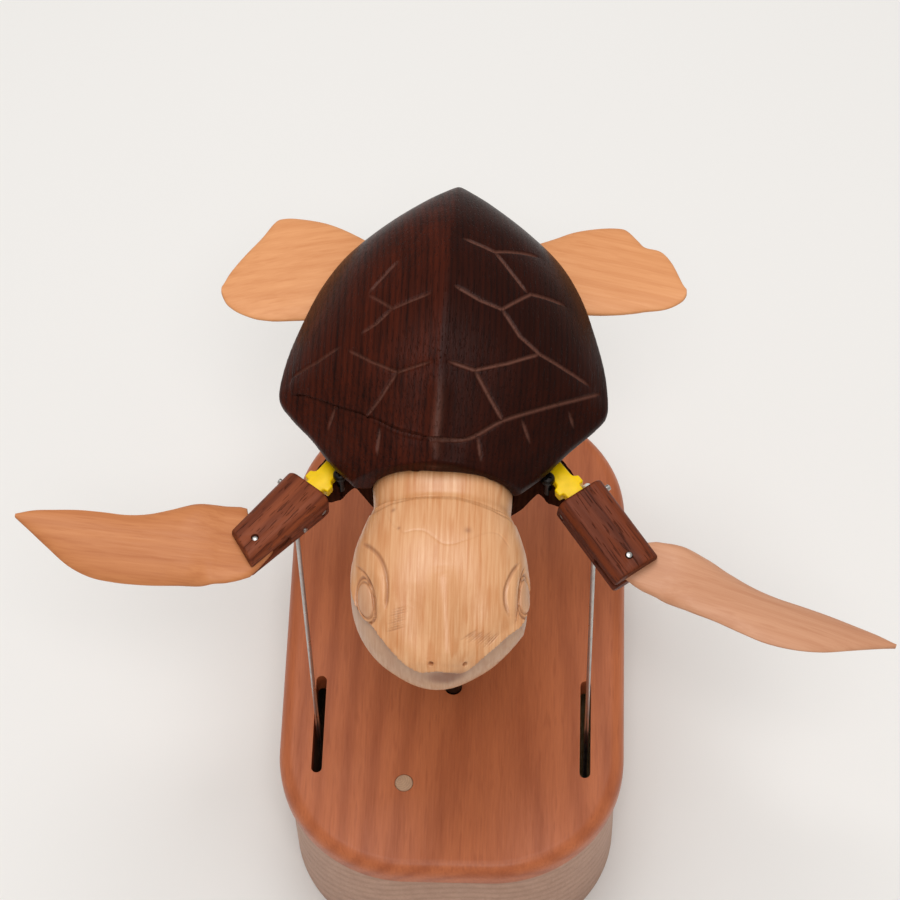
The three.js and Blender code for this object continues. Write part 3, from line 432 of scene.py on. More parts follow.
def wood(name, light, dark, turn, pith, rings, ring_share=0.3, streak_share=0.3, fibre_share=0.25,
         pores=0.0, flecks=0.0, fleck_size=1.1, layers=1, roughness=0.5, gloss=0.25, coat=0.0, relief=0.12,
         cut_tone_and_painted_light=None, second_tone_and_painted_sheen=None):
    """Solid wood whose rings lie round the pith and whose grain runs along the X axis of the turned
    frame, so that every cut face shows the same block. Layers draws the grain out along Z as well."""
    shader = Shader(name)
    grain = lambda along, layer=1: shader.coordinates(turn, (along, 1, layer), pith)
    wave = {"Vector": grain(12), "Scale": 0.314 / (rings * MM), "Distortion": 2.4, "Detail": 2.0,
            "Detail Scale": 0.3, "Detail Roughness": 0.5}
    kind = {"wave_type": "RINGS", "rings_direction": "X", "wave_profile": "SIN"}
    ring = shader.node("TexWave", wave, **kind).outputs["Fac"]
    fibre = shader.noise(grain(28, layers), 1700, 4, 0.6)
    streak = shader.noise(grain(16, layers), 260, 3, 0.6)
    broad = shader.noise(grain(3), 34, 2, 0.5)
    ringed = shader.times(shader.math("POWER", ring, 1.8), ring_share)
    streaked = shader.times(shader.spread(streak, 0.34, 0.7), streak_share)
    fine = shader.times(shader.spread(fibre, 0.35, 0.7), fibre_share)
    broadly = shader.times(shader.spread(broad, 0.35, 0.65), 0.2)
    share = shader.math("ADD", shader.math("ADD", ringed, streaked), shader.math("ADD", fine, broadly), True)
    tint = shader.mix(share, light, dark)
    height = shader.times(fibre, 0.6)
    if pores:
        pore = shader.spread(shader.noise(grain(14), 2300, 1, 0.4), 0.62, 0.69)
        tint = shader.mix(shader.times(pore, pores), tint, tuple(c * 0.3 for c in dark))
        height = shader.math("SUBTRACT", height, shader.times(pore, 1.4))
    if flecks:
        grains = shader.noise(grain(9, layers ** 0.5), 1 / (fleck_size * MM), 1, 0.4)
        tint = shader.mix(shader.times(shader.spread(grains, 0.58, 0.72), flecks), tint, dark)
    # A second tone mixed in by a shade: the darker right of the shell, and a painted grey reflection on the
    # head's jaw
    if second_tone_and_painted_sheen:
        tint = shader.mix(shader.shade("second_tone_and_painted_sheen"), tint, second_tone_and_painted_sheen)
    # The colour of the cuts: painted shade in the head's cuts, nostrils and beak, the knots' own colour, the
    # lighter cut wood of the shell and a painted highlight on its keel
    if cut_tone_and_painted_light:
        tint = shader.mix(shader.times(shader.shade("carved"), 0.9), tint, cut_tone_and_painted_light)
    rough = shader.spread(fibre, 0.3, 0.7, roughness - 0.05, roughness + 0.08)
    shader.look(Base_Color=tint, Roughness=rough, Coat_Weight=coat, Coat_Roughness=0.3,
                Specular_IOR_Level=gloss)
    shader.bump(height, relief)
    return shader.material


def metal(name, light, roughness):
    """Drawn or turned metal with faint scratches and a breath of tarnish."""
    shader = Shader(name)
    tarnish = shader.noise(shader.coordinates(), 260, 4, 0.6)
    tint = shader.mix(shader.spread(tarnish, 0.4, 0.75), light, tuple(c * 0.7 for c in light))
    rough = shader.spread(tarnish, 0.3, 0.7, roughness - 0.06, roughness + 0.1)
    shader.look(Base_Color=tint, Metallic=1.0, Roughness=rough)
    shader.bump(shader.noise(shader.coordinates(stretch=(1, 1, 10)), 2400, 2, 0.6), 0.05)
    return shader.material


def plastic(name, light, roughness):
    """Moulded plastic with a fine skin and slight unevenness of colour."""
    shader = Shader(name)
    patch = shader.noise(shader.coordinates(), 300, 3, 0.5)
    tint = shader.mix(shader.spread(patch, 0.35, 0.7), light, tuple(c * 0.86 for c in light))
    rough = shader.spread(patch, 0.3, 0.7, roughness, roughness + 0.1)
    shader.look(Base_Color=tint, Roughness=rough, Specular_IOR_Level=0.25, Subsurface_Weight=0.05,
                Subsurface_Scale=0.5 * MM)
    shader.bump(shader.noise(shader.coordinates(), 3200, 2, 0.5), 0.03)
    return shader.material


def tones():
    return bpy.context.scene.automaton_tones


GRAIN_Y = (0, 0, math.pi / 2)
GRAIN_Z = (0, math.pi / 2, 0)
LID_GRAIN = (0, 0.05, math.pi / 2)

# Each wood: its light and dark tone, the turn of its grain, the place of its pith, and what sets it apart
WOODS = {
    "cherry": ("cherry", "cherry_dark", LID_GRAIN, (0.012, 0, 0.016), {
        "rings": 6, "ring_share": 0.34, "flecks": 0.35, "roughness": 0.4, "coat": 0.1}),
    "pale_wood": ("pale", "pale_dark", GRAIN_Y, (0.01, 0, -0.05), {"rings": 4, "flecks": 0.3}),
    "end_grain": ("plug", "pale_dark", GRAIN_Z, (-0.016, -0.055, 0), {"rings": 0.7, "roughness": 0.55}),
    "maple": ("maple", "maple_dark", GRAIN_Y, (0.19, 0, 0.19), {
        "rings": 1.7, "ring_share": 0.14, "fibre_share": 0.5, "flecks": 0.6, "fleck_size": 1.8, "layers": 9,
        "roughness": 0.38, "gloss": 0.5, "relief": 0.1, "cut_tone_and_painted_light": "maple_shade_and_knots", "second_tone_and_painted_sheen": "maple_painted_sheen"}),
    "turned_maple": ("maple", "maple_dark", GRAIN_Y, (0.004, 0, 0.012), {
        "rings": 2.2, "flecks": 0.4, "roughness": 0.42, "coat": 0.15}),
    "wenge": ("wenge", "wenge_dark", GRAIN_Y, (0.22, 0, 0.17), {
        "rings": 1.7, "streak_share": 0.45, "fibre_share": 0.3, "pores": 0.2, "roughness": 0.32,
        "gloss": 0.055, "relief": 0.1, "cut_tone_and_painted_light": "wenge_cut_and_highlight", "second_tone_and_painted_sheen": "wenge_dark"}),
    "dull_wenge": ("belly", "wenge_dark", GRAIN_Y, (0.22, 0, 0.17), {
        "rings": 1.7, "roughness": 0.6, "gloss": 0.0, "relief": 0.1}),
    "walnut_crank": ("walnut", "walnut_dark", GRAIN_Z, (0.01, 0.06, 0.02), {
        "rings": 2.4, "pores": 0.75, "roughness": 0.42, "relief": 0.25}),
    "plywood": ("plywood", "plywood_dark", (0, 0, 0), (0, 0.03, -0.05), {
        "rings": 4, "roughness": 0.6, "relief": 0.18}),
}

# How rough each metal and each plastic is
METALS = {"steel": 0.32, "black_steel": 0.42, "brass": 0.3}
PLASTICS = {"yellow_plastic": 0.38, "white_plastic": 0.4}
materials = {}


def finish_of(key):
    """The materials, each made once when it is first asked for."""
    if key in materials:
        return materials[key]
    t = tones()
    if key in WOODS:
        light, dark, turn, pith, rest = WOODS[key]
        rest = {name: getattr(t, value) if isinstance(value, str) else value for name, value in rest.items()}
        materials[key] = wood(key, getattr(t, light), getattr(t, dark), turn, pith, **rest)
    elif key in METALS:
        materials[key] = metal(key, getattr(t, key), METALS[key])
    else:
        materials[key] = plastic(key, getattr(t, key), PLASTICS[key])
    return materials[key]


def wear(obj, made, body, node, matrix=None, angle=35):
    """Shades a piece smoothly up to an angle, puts it in its place, gives it its finish and the body it moves
    with, and hides the node it stands for."""
    choose(obj)
    bpy.ops.object.shade_smooth_by_angle(angle=math.radians(angle))
    if matrix is not None:
        place(obj, matrix)
    obj.data.materials.clear()
    obj.data.materials.append(finish_of(made) if isinstance(made, str) else made)
    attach(obj, body)
    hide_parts(node)


# Sizes and colours

def tone(name, value):
    return FloatVectorProperty(name=name, subtype="COLOR", size=3, min=0, max=1, default=srgb(*value))


def millimetres(name, text, value):
    return FloatProperty(name=name, description=f"{text}, in millimetres", default=value)


def degrees(name, text, value):
    return FloatProperty(name=name, description=text, subtype="ANGLE", default=math.radians(value))


def amount(name, text, value):
    return FloatProperty(name=name, description=text, default=value)


class AutomatonTones(bpy.types.PropertyGroup):
    cherry: tone("Lid", (204, 117, 72))
    cherry_dark: tone("Lid grain", (162, 84, 49))
    plug: tone("Plug", (206, 168, 134))
    pale: tone("Wall", (200, 160, 138))
    pale_dark: tone("Wall grain", (164, 126, 104))
    maple: tone("Head", (228, 178, 132))
    maple_dark: tone("Head grain", (196, 128, 76))
    # Painted shade in the head's cuts, nostrils and beak; also the colour of the knots
    maple_shade_and_knots: tone("Face cuts", (140, 88, 58))
    # Painted grey reflection on the flats of the jaw and beak; it greys the eyeballs too
    maple_painted_sheen: tone("Beak", (178, 150, 132))
    orange: tone("Flippers", (228, 162, 110))
    orange_dark: tone("Flipper grain", (198, 126, 76))
    left_blade: tone("Left flipper", (204, 134, 84))
    left_blade_dark: tone("Left flipper grain", (172, 100, 56))
    # The right flipper's paler, pinker tone is a painted sheen
    right_blade: tone("Right flipper", (210, 156, 122))
    right_blade_dark: tone("Right flipper grain", (182, 122, 88))
    wenge: tone("Shell", (74, 28, 15))
    wenge_dark: tone("Shell grain", (30, 12, 8))
    # Colour of the shell's cuts, also used for the painted highlight along the front of the keel
    wenge_cut_and_highlight: tone("Shell cuts", (108, 70, 58))
    belly: tone("Belly", (56, 29, 19))
    walnut: tone("Left arm", (146, 76, 46))
    walnut_dark: tone("Left arm grain", (86, 38, 22))
    right_arm: tone("Right arm", (122, 58, 32))
    right_arm_dark: tone("Right arm grain", (66, 27, 15))
    plywood: tone("Plywood", (206, 178, 132))
    plywood_dark: tone("Plywood grain", (172, 138, 92))
    steel: tone("Steel", (190, 188, 184))
    black_steel: tone("Dark steel", (50, 47, 45))
    brass: tone("Brass", (205, 168, 98))
    yellow_plastic: tone("Yellow plastic", (248, 204, 2))
    white_plastic: tone("White plastic", (228, 226, 222))


class AutomatonShell(bpy.types.PropertyGroup):
    length: millimetres("Length", "Length of the shell", 103)
    width: millimetres("Width", "Width of the shell", 96.4)
    height: millimetres("Height", "Height of the dome", 30)
    cut_depth: millimetres("Cut depth", "Depth of the scute cuts", 0.6)
    cut_width: millimetres("Cut width", "Half the width of the scute cuts", 0.7)
    dip: millimetres("Dip", "How far the wood falls towards a cut", 0.35)
    skin: millimetres("Skin", "Size of the faces that are carved", 0.75)


class AutomatonHead(bpy.types.PropertyGroup):
    length: millimetres("Length", "Length of the head and neck", 89)
    width: millimetres("Width", "Width of the head", 51)
    height: millimetres("Height", "Height of the head", 37)
    cut_depth: millimetres("Cut depth", "Depth of the cuts in the face", 0.55)
    cut_width: millimetres("Cut width", "Half the width of the cuts", 0.75)
    skin: millimetres("Skin", "Size of the faces that are carved", 0.6)


class AutomatonStage(bpy.types.PropertyGroup):
    azimuth: degrees("Azimuth", "Turn of the camera from the front", 3.821)
    elevation: degrees("Elevation", "Height of the camera over the floor", 59.595)
    roll: degrees("Roll", "Tilt of the picture", -2.296)
    distance: FloatProperty(name="Distance", description="Camera to the point it looks at", unit="LENGTH",
                            default=1.010976)
    lens: amount("Lens", "Focal length in millimetres on a 36 mm sensor", 120)
    target: FloatVectorProperty(name="Target", description="The point the camera looks at", unit="LENGTH",
                                size=3, default=(-0.003933, 0.066387, 0.062))
    floor: tone("Floor", (243, 241, 238))
    ambient: amount("Ambient light", "Strength of the light from all round", 0.44)
    key: amount("Main lamp", "Power of the main lamp", 9.5)
    fill: amount("Second lamp", "Power of the second lamp", 4.5)


# Stage

class AUTOMATON_OT_stage(bpy.types.Operator):
    """Sets the pale floor, the soft lamps and the camera"""
    bl_idname = "automaton.stage"
    bl_label = "Stage"

    def execute(self, context):
        settings = context.scene.automaton_stage
        self.camera(context, settings)
        self.floor(settings)
        self.lamp(context, "main_lamp", settings.key, 0.8, (-0.06, 0.22, 1.45), (0, 0, 0.15))
        self.lamp(context, "second_lamp", settings.fill, 0.4, (0.08, -0.62, 1.4), (0, 0, 0.1))
        world = bpy.data.worlds.new("room")
        world.use_nodes = True
        light = world.node_tree.nodes["Background"]
        light.inputs["Color"].default_value = (1, 0.985, 0.965, 1)
        light.inputs["Strength"].default_value = settings.ambient
        context.scene.world = world
        context.scene.view_settings.view_transform = "Standard"
        return {"FINISHED"}

    def camera(self, context, settings):
        azimuth, elevation, roll = settings.azimuth, settings.elevation, settings.roll
        ahead = (math.sin(azimuth) * math.cos(elevation), -math.cos(azimuth) * math.cos(elevation))
        back = Vector((*ahead, math.sin(elevation)))
        level = Vector((math.cos(azimuth), math.sin(azimuth), 0))
        upright = back.cross(level)
        right = math.cos(roll) * level + math.sin(roll) * upright
        up = math.cos(roll) * upright - math.sin(roll) * level
        data = bpy.data.cameras.new("camera")
        data.lens = settings.lens
        data.sensor_width = 36
        data.clip_start = 0.05
        data.clip_end = 20
        camera = bpy.data.objects.new("camera", data)
        context.scene.collection.objects.link(camera)
        turned_to = Matrix((right, up, back)).transposed().to_4x4()
        at = Vector(settings.target) + back * settings.distance
        camera.matrix_world = Matrix.Translation(at) @ turned_to
        context.scene.camera = camera

    def floor(self, settings):
        clear_selection()
        bpy.ops.mesh.primitive_plane_add(size=8, location=(0, 0, 0))
        floor = named("floor")
        shader = Shader("floor")
        weave = shader.noise(shader.coordinates(), 3, 2, 0.5)
        tint = shader.mix(weave, settings.floor, tuple(c * 0.97 for c in settings.floor))
        shader.look(Base_Color=tint, Roughness=0.9, Specular_IOR_Level=0.1)
        floor.data.materials.append(shader.material)

    def lamp(self, context, name, power, size, at, towards):
        data = bpy.data.lights.new(name, "AREA")
        data.energy = power
        data.shape = "DISK"
        data.size = size
        lamp = bpy.data.objects.new(name, data)
        lamp.location = at
        lamp.rotation_euler = (Vector(towards) - Vector(at)).to_track_quat("-Z", "Y").to_euler()
        context.scene.collection.objects.link(lamp)


# Box

def slot_cutter(x):
    half = SLOT_LENGTH / 2 - SLOT_WIDTH / 2
    outline = arc((x, SLOT_Y + half), SLOT_WIDTH / 2, 0, 180, 10)
    outline += arc((x, SLOT_Y - half), SLOT_WIDTH / 2, 180, 360, 10)
    return plate("slot_cutter", outline, *THROUGH_LID)


def rounded_block(name, inset, low, high, steps):
    """A block in the shape of the lid in plan, set in by some millimetres all round."""
    x, y = BOX_WIDTH / 2 - inset, BOX_DEPTH / 2 - inset
    block = box(name, (-x, -y, low), (x, y, high))
    upright = lambda edge: abs(edge.verts[0].co.z - edge.verts[1].co.z) > 1e-6
    bevel_edges(block, upright, BOX_CORNER - inset, steps)
    return block


def rim(z):
    """A test for the edges that lie wholly at one height."""
    return lambda edge: all(abs(v.co.z - z * MM) < 1e-6 for v in edge.verts)


class AUTOMATON_OT_lid(bpy.types.Operator):
    """Makes the lid with its round edge, its two wire slots and its plug"""
    bl_idname = "automaton.lid"
    bl_label = "Lid"

    def execute(self, context):
        lid = rounded_block("lid", 0, LID_BOTTOM, BOX_HEIGHT, 28)
        bevel_edges(lid, rim(BOX_HEIGHT), LID_EDGE, 8)
        bevel_edges(lid, rim(LID_BOTTOM), 0.6, 2)
        post = rod("post_cutter", POST_RADIUS + 0.3, *THROUGH_LID, at=POST_PLACE)
        plug_hole = rod("plug_cutter", PLUG_RADIUS + 0.15, 56.7, THROUGH_LID[1], at=PLUG_PLACE)
        cut_away(lid, slot_cutter(-SLOT_X), slot_cutter(SLOT_X), post, plug_hole)
        wear(lid, "cherry", "base", "lid_board", angle=30)
        profile = [(0, 57), (PLUG_RADIUS, 57), (PLUG_RADIUS, 62), (2.6, 62.25), (1.9, 62.38), (0, 62.42)]
        plug = turned("plug", profile, at=PLUG_PLACE)
        wear(plug, "end_grain", "base", "lid_plug")
        return {"FINISHED"}


class AUTOMATON_OT_wall(bpy.types.Operator):
    """Makes the wall of the box, hollow, with the bore for the crank's bush"""
    bl_idname = "automaton.wall"
    bl_label = "Wall"

    def execute(self, context):
        wall = rounded_block("wall", LID_OVERHANG, 0, LID_BOTTOM, 28)
        bevel_edges(wall, rim(0), 0.8, 2)
        inside = rounded_block("inside", LID_OVERHANG + WALL, -5, 60, 24)
        cut_away(wall, inside, rod("bore", 4.8, 70, 90, "y", SHAFT_PLACE))
        wear(wall, "pale_wood", "base", "housing_wall", angle=30)
        return {"FINISHED"}


# Turtle

# The shell from front to back: how far along, how wide and how high, as shares of its sizes
SHELL_ROWS = [
    (0, 0.5, 0.6), (0.06, 0.64, 0.69), (0.14, 0.78, 0.77), (0.2, 0.9, 0.83), (0.25, 0.985, 0.88),
    (0.3, 1, 0.93), (0.4, 0.97, 0.985), (0.52, 0.9, 1), (0.64, 0.81, 0.95), (0.75, 0.68, 0.84),
    (0.84, 0.505, 0.69), (0.92, 0.295, 0.51), (0.97, 0.135, 0.36), (1, 0.04, 0.24),
]
SEAT = 183
RIM_THICKNESS = 4
SHELL_FRONT = -19
SHELL_ASIDE, SHELL_TURN = -2, math.radians(-2)
KEEL_LEAN, KEEL_BLEND = 0.035, 1.6
NECK_GAP = 0.3

# Cuts between the scutes, laid out on the dome: the border and the lines over each side
BORDER_CUT = [
    (-45.4, 8.1, 191), (-39.8, 5.2, 194.2), (-22.9, -4.2, 200.4), (-14, -9.3, 202.1), (-5.3, -12.2, 203.3),
    (6, -12, 202.2), (16, -5.4, 201.4), (26.2, -0.1, 199.1), (34.7, 4.5, 196.2), (44, 11.4, 189.7),
]
RIGHT_CUTS = [
    [(1.6, 33.4, 212.5), (8.9, 29.6, 210.6), (15.3, 27.8, 208.8), (23.5, 35.9, 204.6), (33.4, 37.5, 196.6)],
    [(15.3, 27.8, 208.8), (20.6, 20.1, 206.6), (26.4, 16, 203.5), (34, 13.8, 198.7), (40.8, 12.3, 193)],
    [(26.4, 16, 203.5), (17.4, 10.9, 206.5), (8, 7.5, 207.9), (0.6, 9.2, 209.8)],
    [(8, 7.5, 207.9), (12.5, 0.2, 204.7), (16.3, -5.3, 201.3)],
    [(3.6, 52.1, 209.1), (12.7, 48.8, 207.4), (25.3, 53.2, 198.7)],
    [(12.7, 48.8, 207.4), (17.8, 41.8, 206.6), (22.3, 36.1, 205.3)],
]
LEFT_CUTS = [
    [(-28.9, 16.3, 203.6), (-21.6, 10.9, 205.9), (-14.2, 7, 207), (-4.5, 9.2, 209.7)],
    [(-14.2, 7, 207), (-18.9, 0.3, 203.6), (-22.9, -4.2, 200.4)],
    [(-31.6, 18.1, 202.3), (-38.4, 15.7, 197.7), (-45.7, 14.7, 191.4)],
    [(-23.8, 34, 206.1), (-16.4, 27.3, 209.2), (-5.2, 31.1, 212)],
    [(-16.4, 27.3, 209.2), (-20.9, 23.1, 207.6), (-25.2, 20.8, 205.8)],
    [(-23.8, 34.8, 206), (-19.6, 39.8, 207), (-15.5, 44.9, 207.9)],
]
KEEL_FRONT = [(-1.9, 3, 213), (-2.2, -6, 209), (-2.5, -12, 204), (-2.7, -17, 197)]
BORDER_TICKS = [
    [(-19, -8, 200.7), (-19.7, -14.8, 197.1)],
    [(9.3, -11, 201.7), (10.3, -16.9, 198.4)],
    [(21.7, -3.8, 199.5), (24.1, -8.8, 195.2)],
    [(35.1, 2.2, 194.5), (36.6, -0.9, 190.7)],
    [(-32.7, 0.7, 196.9), (-34.8, -3.8, 192.1)],
]


def shell_rings(sizes):
    across = np.concatenate([np.linspace(1, 0.9, 5)[:-1], np.linspace(0.9, 0.02, 30)])
    rings = []
    for along, wide, high in smooth_rows(SHELL_ROWS, 7):
        y = SHELL_FRONT + sizes.length * along
        half = sizes.width / 2 * wide
        rim_at = min(RIM_THICKNESS, sizes.height * high * 0.6)
        rise = sizes.height * high - rim_at
        level = lambda q: SEAT + rim_at + rise * (1 - 0.36 * q - 0.64 * q ** 3.2)
        side = [(half * q, y, level(q)) for q in across]
        other = [(-x, y, z) for x, y, z in reversed(side)]
        under = [(-half, y, SEAT + rim_at * 0.35), (-half * 0.96, y, SEAT)]
        under += [(half * 0.96, y, SEAT), (half, y, SEAT + rim_at * 0.35)]
        rings.append(side + [(0, y, level(0))] + other + under)
    return rings


class AUTOMATON_OT_shell(bpy.types.Operator):
    """Carves the shell: a keeled dome with its scutes cut in"""
    bl_idname = "automaton.shell"
    bl_label = "Shell"

    def execute(self, context):
        sizes = context.scene.automaton_shell
        shell = lofted("carved_shell", shell_rings(sizes))
        place(shell, Matrix.Translation((SHELL_ASIDE, 0, 0)) @ Matrix.Rotation(SHELL_TURN, 4, "Z"))
        cut_away(shell, lofted("neck_room", head_rings(context.scene.automaton_head, NECK_GAP)))
        reskin(shell, sizes.skin, 3)
        deep, wide = sizes.cut_depth, sizes.cut_width
        cuts = [(kinked(line), deep, wide, 1) for line in RIGHT_CUTS]
        cuts += [(kinked(line), deep, wide * 0.9, 0.6) for line in LEFT_CUTS]
        cuts += [(BORDER_CUT[:5], deep * 2.2, wide * 1.4, 0.1), (BORDER_CUT[4:], deep * 1.3, wide * 1.1, 0.9)]
        cuts += [(line, deep * 0.7, wide * 0.9, 0.8) for line in BORDER_TICKS]
        swell(shell, KEEL_FRONT, 0.7, 2.6)
        crease(shell, BORDER_CUT[:6], 0.25, 0.8, 11)
        carve(shell, cuts, sizes.dip, 3.5)
        # A painted highlight along the front of the keel, mixed in with the lighter colour of the cuts
        points, normals, far, weight = beside(shell, KEEL_FRONT, 0.25, 12)
        painted_keel_highlight = 0.48 * weight * np.exp(-(far / 1.3) ** 2)
        write_shade(shell, "carved", np.maximum(read_shade(shell, "carved"), painted_keel_highlight))
        # Right of the keel the shell takes its second, darker tone
        to_the_right = (points[:, 0] - SHELL_ASIDE - KEEL_LEAN * points[:, 1]) / KEEL_BLEND + 0.5
        write_shade(shell, "second_tone_and_painted_sheen", np.clip(to_the_right, 0, 1) * 0.62)
        wear(shell, "wenge", "base", "shell", angle=60)
        return {"FINISHED"}


# The head from the neck to the beak: how far along, and how wide, how high and how low it is there
HEAD_ROWS = [
    (0, 0.66, 0.36, -0.28), (0.16, 0.74, 0.42, -0.34), (0.3, 0.79, 0.44, -0.4), (0.37, 0.79, 0.44, -0.42),
    (0.41, 0.8, 0.43, -0.45), (0.44, 0.84, 0.455, -0.48), (0.5, 0.91, 0.48, -0.5),
    (0.57, 0.975, 0.5, -0.5), (0.65, 1, 0.5, -0.5), (0.73, 0.985, 0.48, -0.48), (0.8, 0.92, 0.44, -0.45),
    (0.86, 0.81, 0.38, -0.4), (0.91, 0.67, 0.32, -0.34), (0.95, 0.5, 0.27, -0.28),
    (0.98, 0.33, 0.22, -0.22), (1, 0.16, 0.14, -0.14),
]
HEAD_MIDDLE = 178
HEAD_FRONT = -77
RING_STEPS = 72

# Lines and spots of the face, laid out on the head
NECK_STEP = [
    (-23.5, -25.5, 178), (-21.5, -26.5, 184.5), (-20, -27.9, 187.8), (-17.9, -27.9, 190.2),
    (-15.3, -27.4, 191.9), (-12.5, -27.2, 193.2), (-9, -26.7, 194), (-5.4, -26.5, 194.3),
    (-1.1, -26.5, 194.7), (3.4, -26.7, 194.3), (6.9, -27.3, 194.2), (10.3, -28.1, 193.4),
    (13.7, -28.8, 191.8), (16.8, -29.4, 189.5), (19.5, -29, 184), (20.5, -27.5, 178),
]
CAP_CUT = [
    (-16.3, -30.5, 192.1), (-15.6, -32.7, 193.1), (-14.6, -35.2, 194.1), (-12.8, -37.2, 194.9),
    (-10.8, -38.9, 195.7), (-8, -38.4, 196.1), (-5.1, -38.7, 196.3), (-2.3, -40.7, 196.5),
    (0.3, -42.6, 196.5), (2.9, -42.7, 196.3), (5.6, -41.6, 196.1), (8.9, -40, 195.6), (12.2, -38.1, 194.6),
    (15, -37.2, 193.1), (17, -38.2, 192.2), (18.8, -40.7, 190.9),
]
BROW_CUTS = [
    [(-22.9, -39.2, 188.8), (-20.7, -41.5, 191.3), (-18.5, -44.2, 192.9), (-17, -46.8, 193.7),
     (-15.7, -50.1, 194), (-15, -54, 193.6), (-14.9, -57.7, 192.7), (-15.1, -60.7, 191.4)],
    [(21.6, -44.2, 187.9), (20, -47.4, 189.7), (18.7, -51.1, 190.7), (17.9, -54.6, 190.6), (18, -57.7, 189.3),
     (18.9, -60.3, 187.1)],
]
LID_CUTS = [
    [(-24.4, -45.4, 187.2), (-21.8, -49.1, 190.1), (-19.9, -53.5, 191.3), (-18.9, -57.9, 190.5),
     (-18.5, -60.9, 189.3), (-18.7, -63.1, 187.4)],
    [(23, -43.6, 185), (22.6, -48, 187), (22.2, -52.5, 187), (21.3, -57, 186), (20.3, -61, 184.6)],
]
BROW_SWELLS = [
    [(-19.2, -48.5, 192.2), (-17.4, -52.5, 192.8), (-16.8, -57, 192), (-17, -61.5, 190)],
    [(20.6, -48.5, 188.8), (20.2, -52.8, 189), (19.8, -57, 187.6), (19.6, -60, 186.2)],
]
SNOUT_RIDGE = [
    (0.6, -49.6, 196.1), (1, -56.5, 194.8), (1.8, -64.4, 192), (2.5, -71.8, 188.2), (2.8, -75.6, 184.6),
]
SNOUT_FLATS = [
    [(-7.5, -54, 194), (-7, -61, 191.5), (-6, -68, 188), (-4.5, -74, 185)],
    [(9, -54, 194), (9, -61, 191), (8.5, -67, 187.5), (7.5, -73, 184.5)],
]
CHEEK_SWELL = [(22.5, -52, 180), (22.2, -58, 180), (21, -63.5, 180), (17, -68, 180)]
JAW_LINE = [
    (-24.4, -44, 183), (-23.6, -52, 184), (-22, -60.7, 185), (-18.7, -63.6, 186.3), (-16.7, -66.8, 186.2),
    (-14.6, -69.3, 185.6), (-12.3, -71.7, 184.8), (-10.1, -73.6, 183.9), (-7.8, -75.2, 183.4),
    (-5.3, -76.2, 183), (-3, -76.5, 183.6), (-0.5, -76.3, 184.1), (2.6, -76.1, 183.7), (4.8, -75.8, 182.4),
    (6.7, -75.2, 181.6), (9.1, -73.5, 182), (11.6, -71.5, 183), (14.1, -69.2, 183.6), (16.5, -66.4, 183.7),
    (18.7, -63.8, 183.6), (21.1, -60.3, 182.3), (23, -54, 181), (24, -44, 180),
]
EYES = [
    ((-21.4, -56.9, 188.4), (-23.1, -50.1, 188.9), (-19.7, -62.9, 186.6)),
    ((23.4, -52.5, 183.8), (24.2, -46.2, 184.4), (21.8, -58.8, 182.6)),
]
NOSTRILS = [(-2.2, -75.1, 186), (7.3, -74.1, 184)]
HEAD_KNOTS = [(-14.3, -30.5, 193.3, 0.7), (7.2, -38, 196, 0.9), (-12.3, -37.3, 195.1, 0.5)]
HATCHES = [
    ((-14.9, -66.5, 188), (-9.9, -66, 190.4), (-13.9, -61.7, 191.5), (-8.9, -60.9, 193.1), 9),
    ((6.3, -69, 189), (10.7, -66, 189.4), (13, -69.3, 185), (16.8, -64.7, 185.9), 11),
]

# How high and how wide the wood swells along each line of the face, hollow where the height is negative
HEAD_SWELLS = [
    (SNOUT_RIDGE, 1.1, 3.2),
    *[(line, -1.0, 5) for line in SNOUT_FLATS],
    (CHEEK_SWELL, 2.4, 6),
    *[(line, 0.4, 1.5) for line in BROW_SWELLS],
]

# The front of the neck behind its step, from side to side, and how far and over what length it falls
NECK_ACROSS, NECK_FRONT = [-24, -14, 3, 15, 24], [-25.5, -26.9, -26.6, -28.9, -28]
NECK_FALL, NECK_FALL_LENGTH = 0.7, 9
EYE_HALF_WIDTH = 3.9
NOSTRIL_DEPTH, NOSTRIL_RADIUS, NOSTRIL_SHADE = 1.8, 0.42, 0.7

# Painted shade on the beak, which faces down: its middle across and up, half its width and height, and where
# it starts
BEAK_MIDDLE, BEAK_HALF, BEAK_START = (2, 180.2), (5.6, 3.4), -66


def hatch_lines():
    """Rows of fine strokes left by a knife, between the two ends of each patch."""
    for first_start, first_end, last_start, last_end, count in HATCHES:
        corners = [Vector(corner) for corner in (first_start, first_end, last_start, last_end)]
        for k in range(count):
            share, inset = k / (count - 1), 0.08 * (k % 3)
            start, end = corners[0].lerp(corners[2], share), corners[1].lerp(corners[3], share)
            yield [tuple(start.lerp(end, at)) for at in (inset, 0.5, 1 - inset)]


def squared(values, power):
    """Each value raised to a power with its sign kept, which squares off a circle."""
    return np.sign(values) * np.abs(values) ** power


def head_rings(sizes, grow=0.0):
    angles = 2 * np.pi * np.arange(RING_STEPS) / RING_STEPS
    rings = []
    for along, wide, above, below in smooth_rows(HEAD_ROWS, 6):
        top, bottom = sizes.height * above + grow, sizes.height * below - grow
        x = (sizes.width / 2 * wide + grow) * squared(np.cos(angles), 0.8) - 1
        z = HEAD_MIDDLE + (top + bottom) / 2 + (top - bottom) / 2 * squared(np.sin(angles), 0.85)
        y = np.full(RING_STEPS, HEAD_FRONT + sizes.length * (1 - along))
        rings.append(np.column_stack([x, y, z]))
    return rings


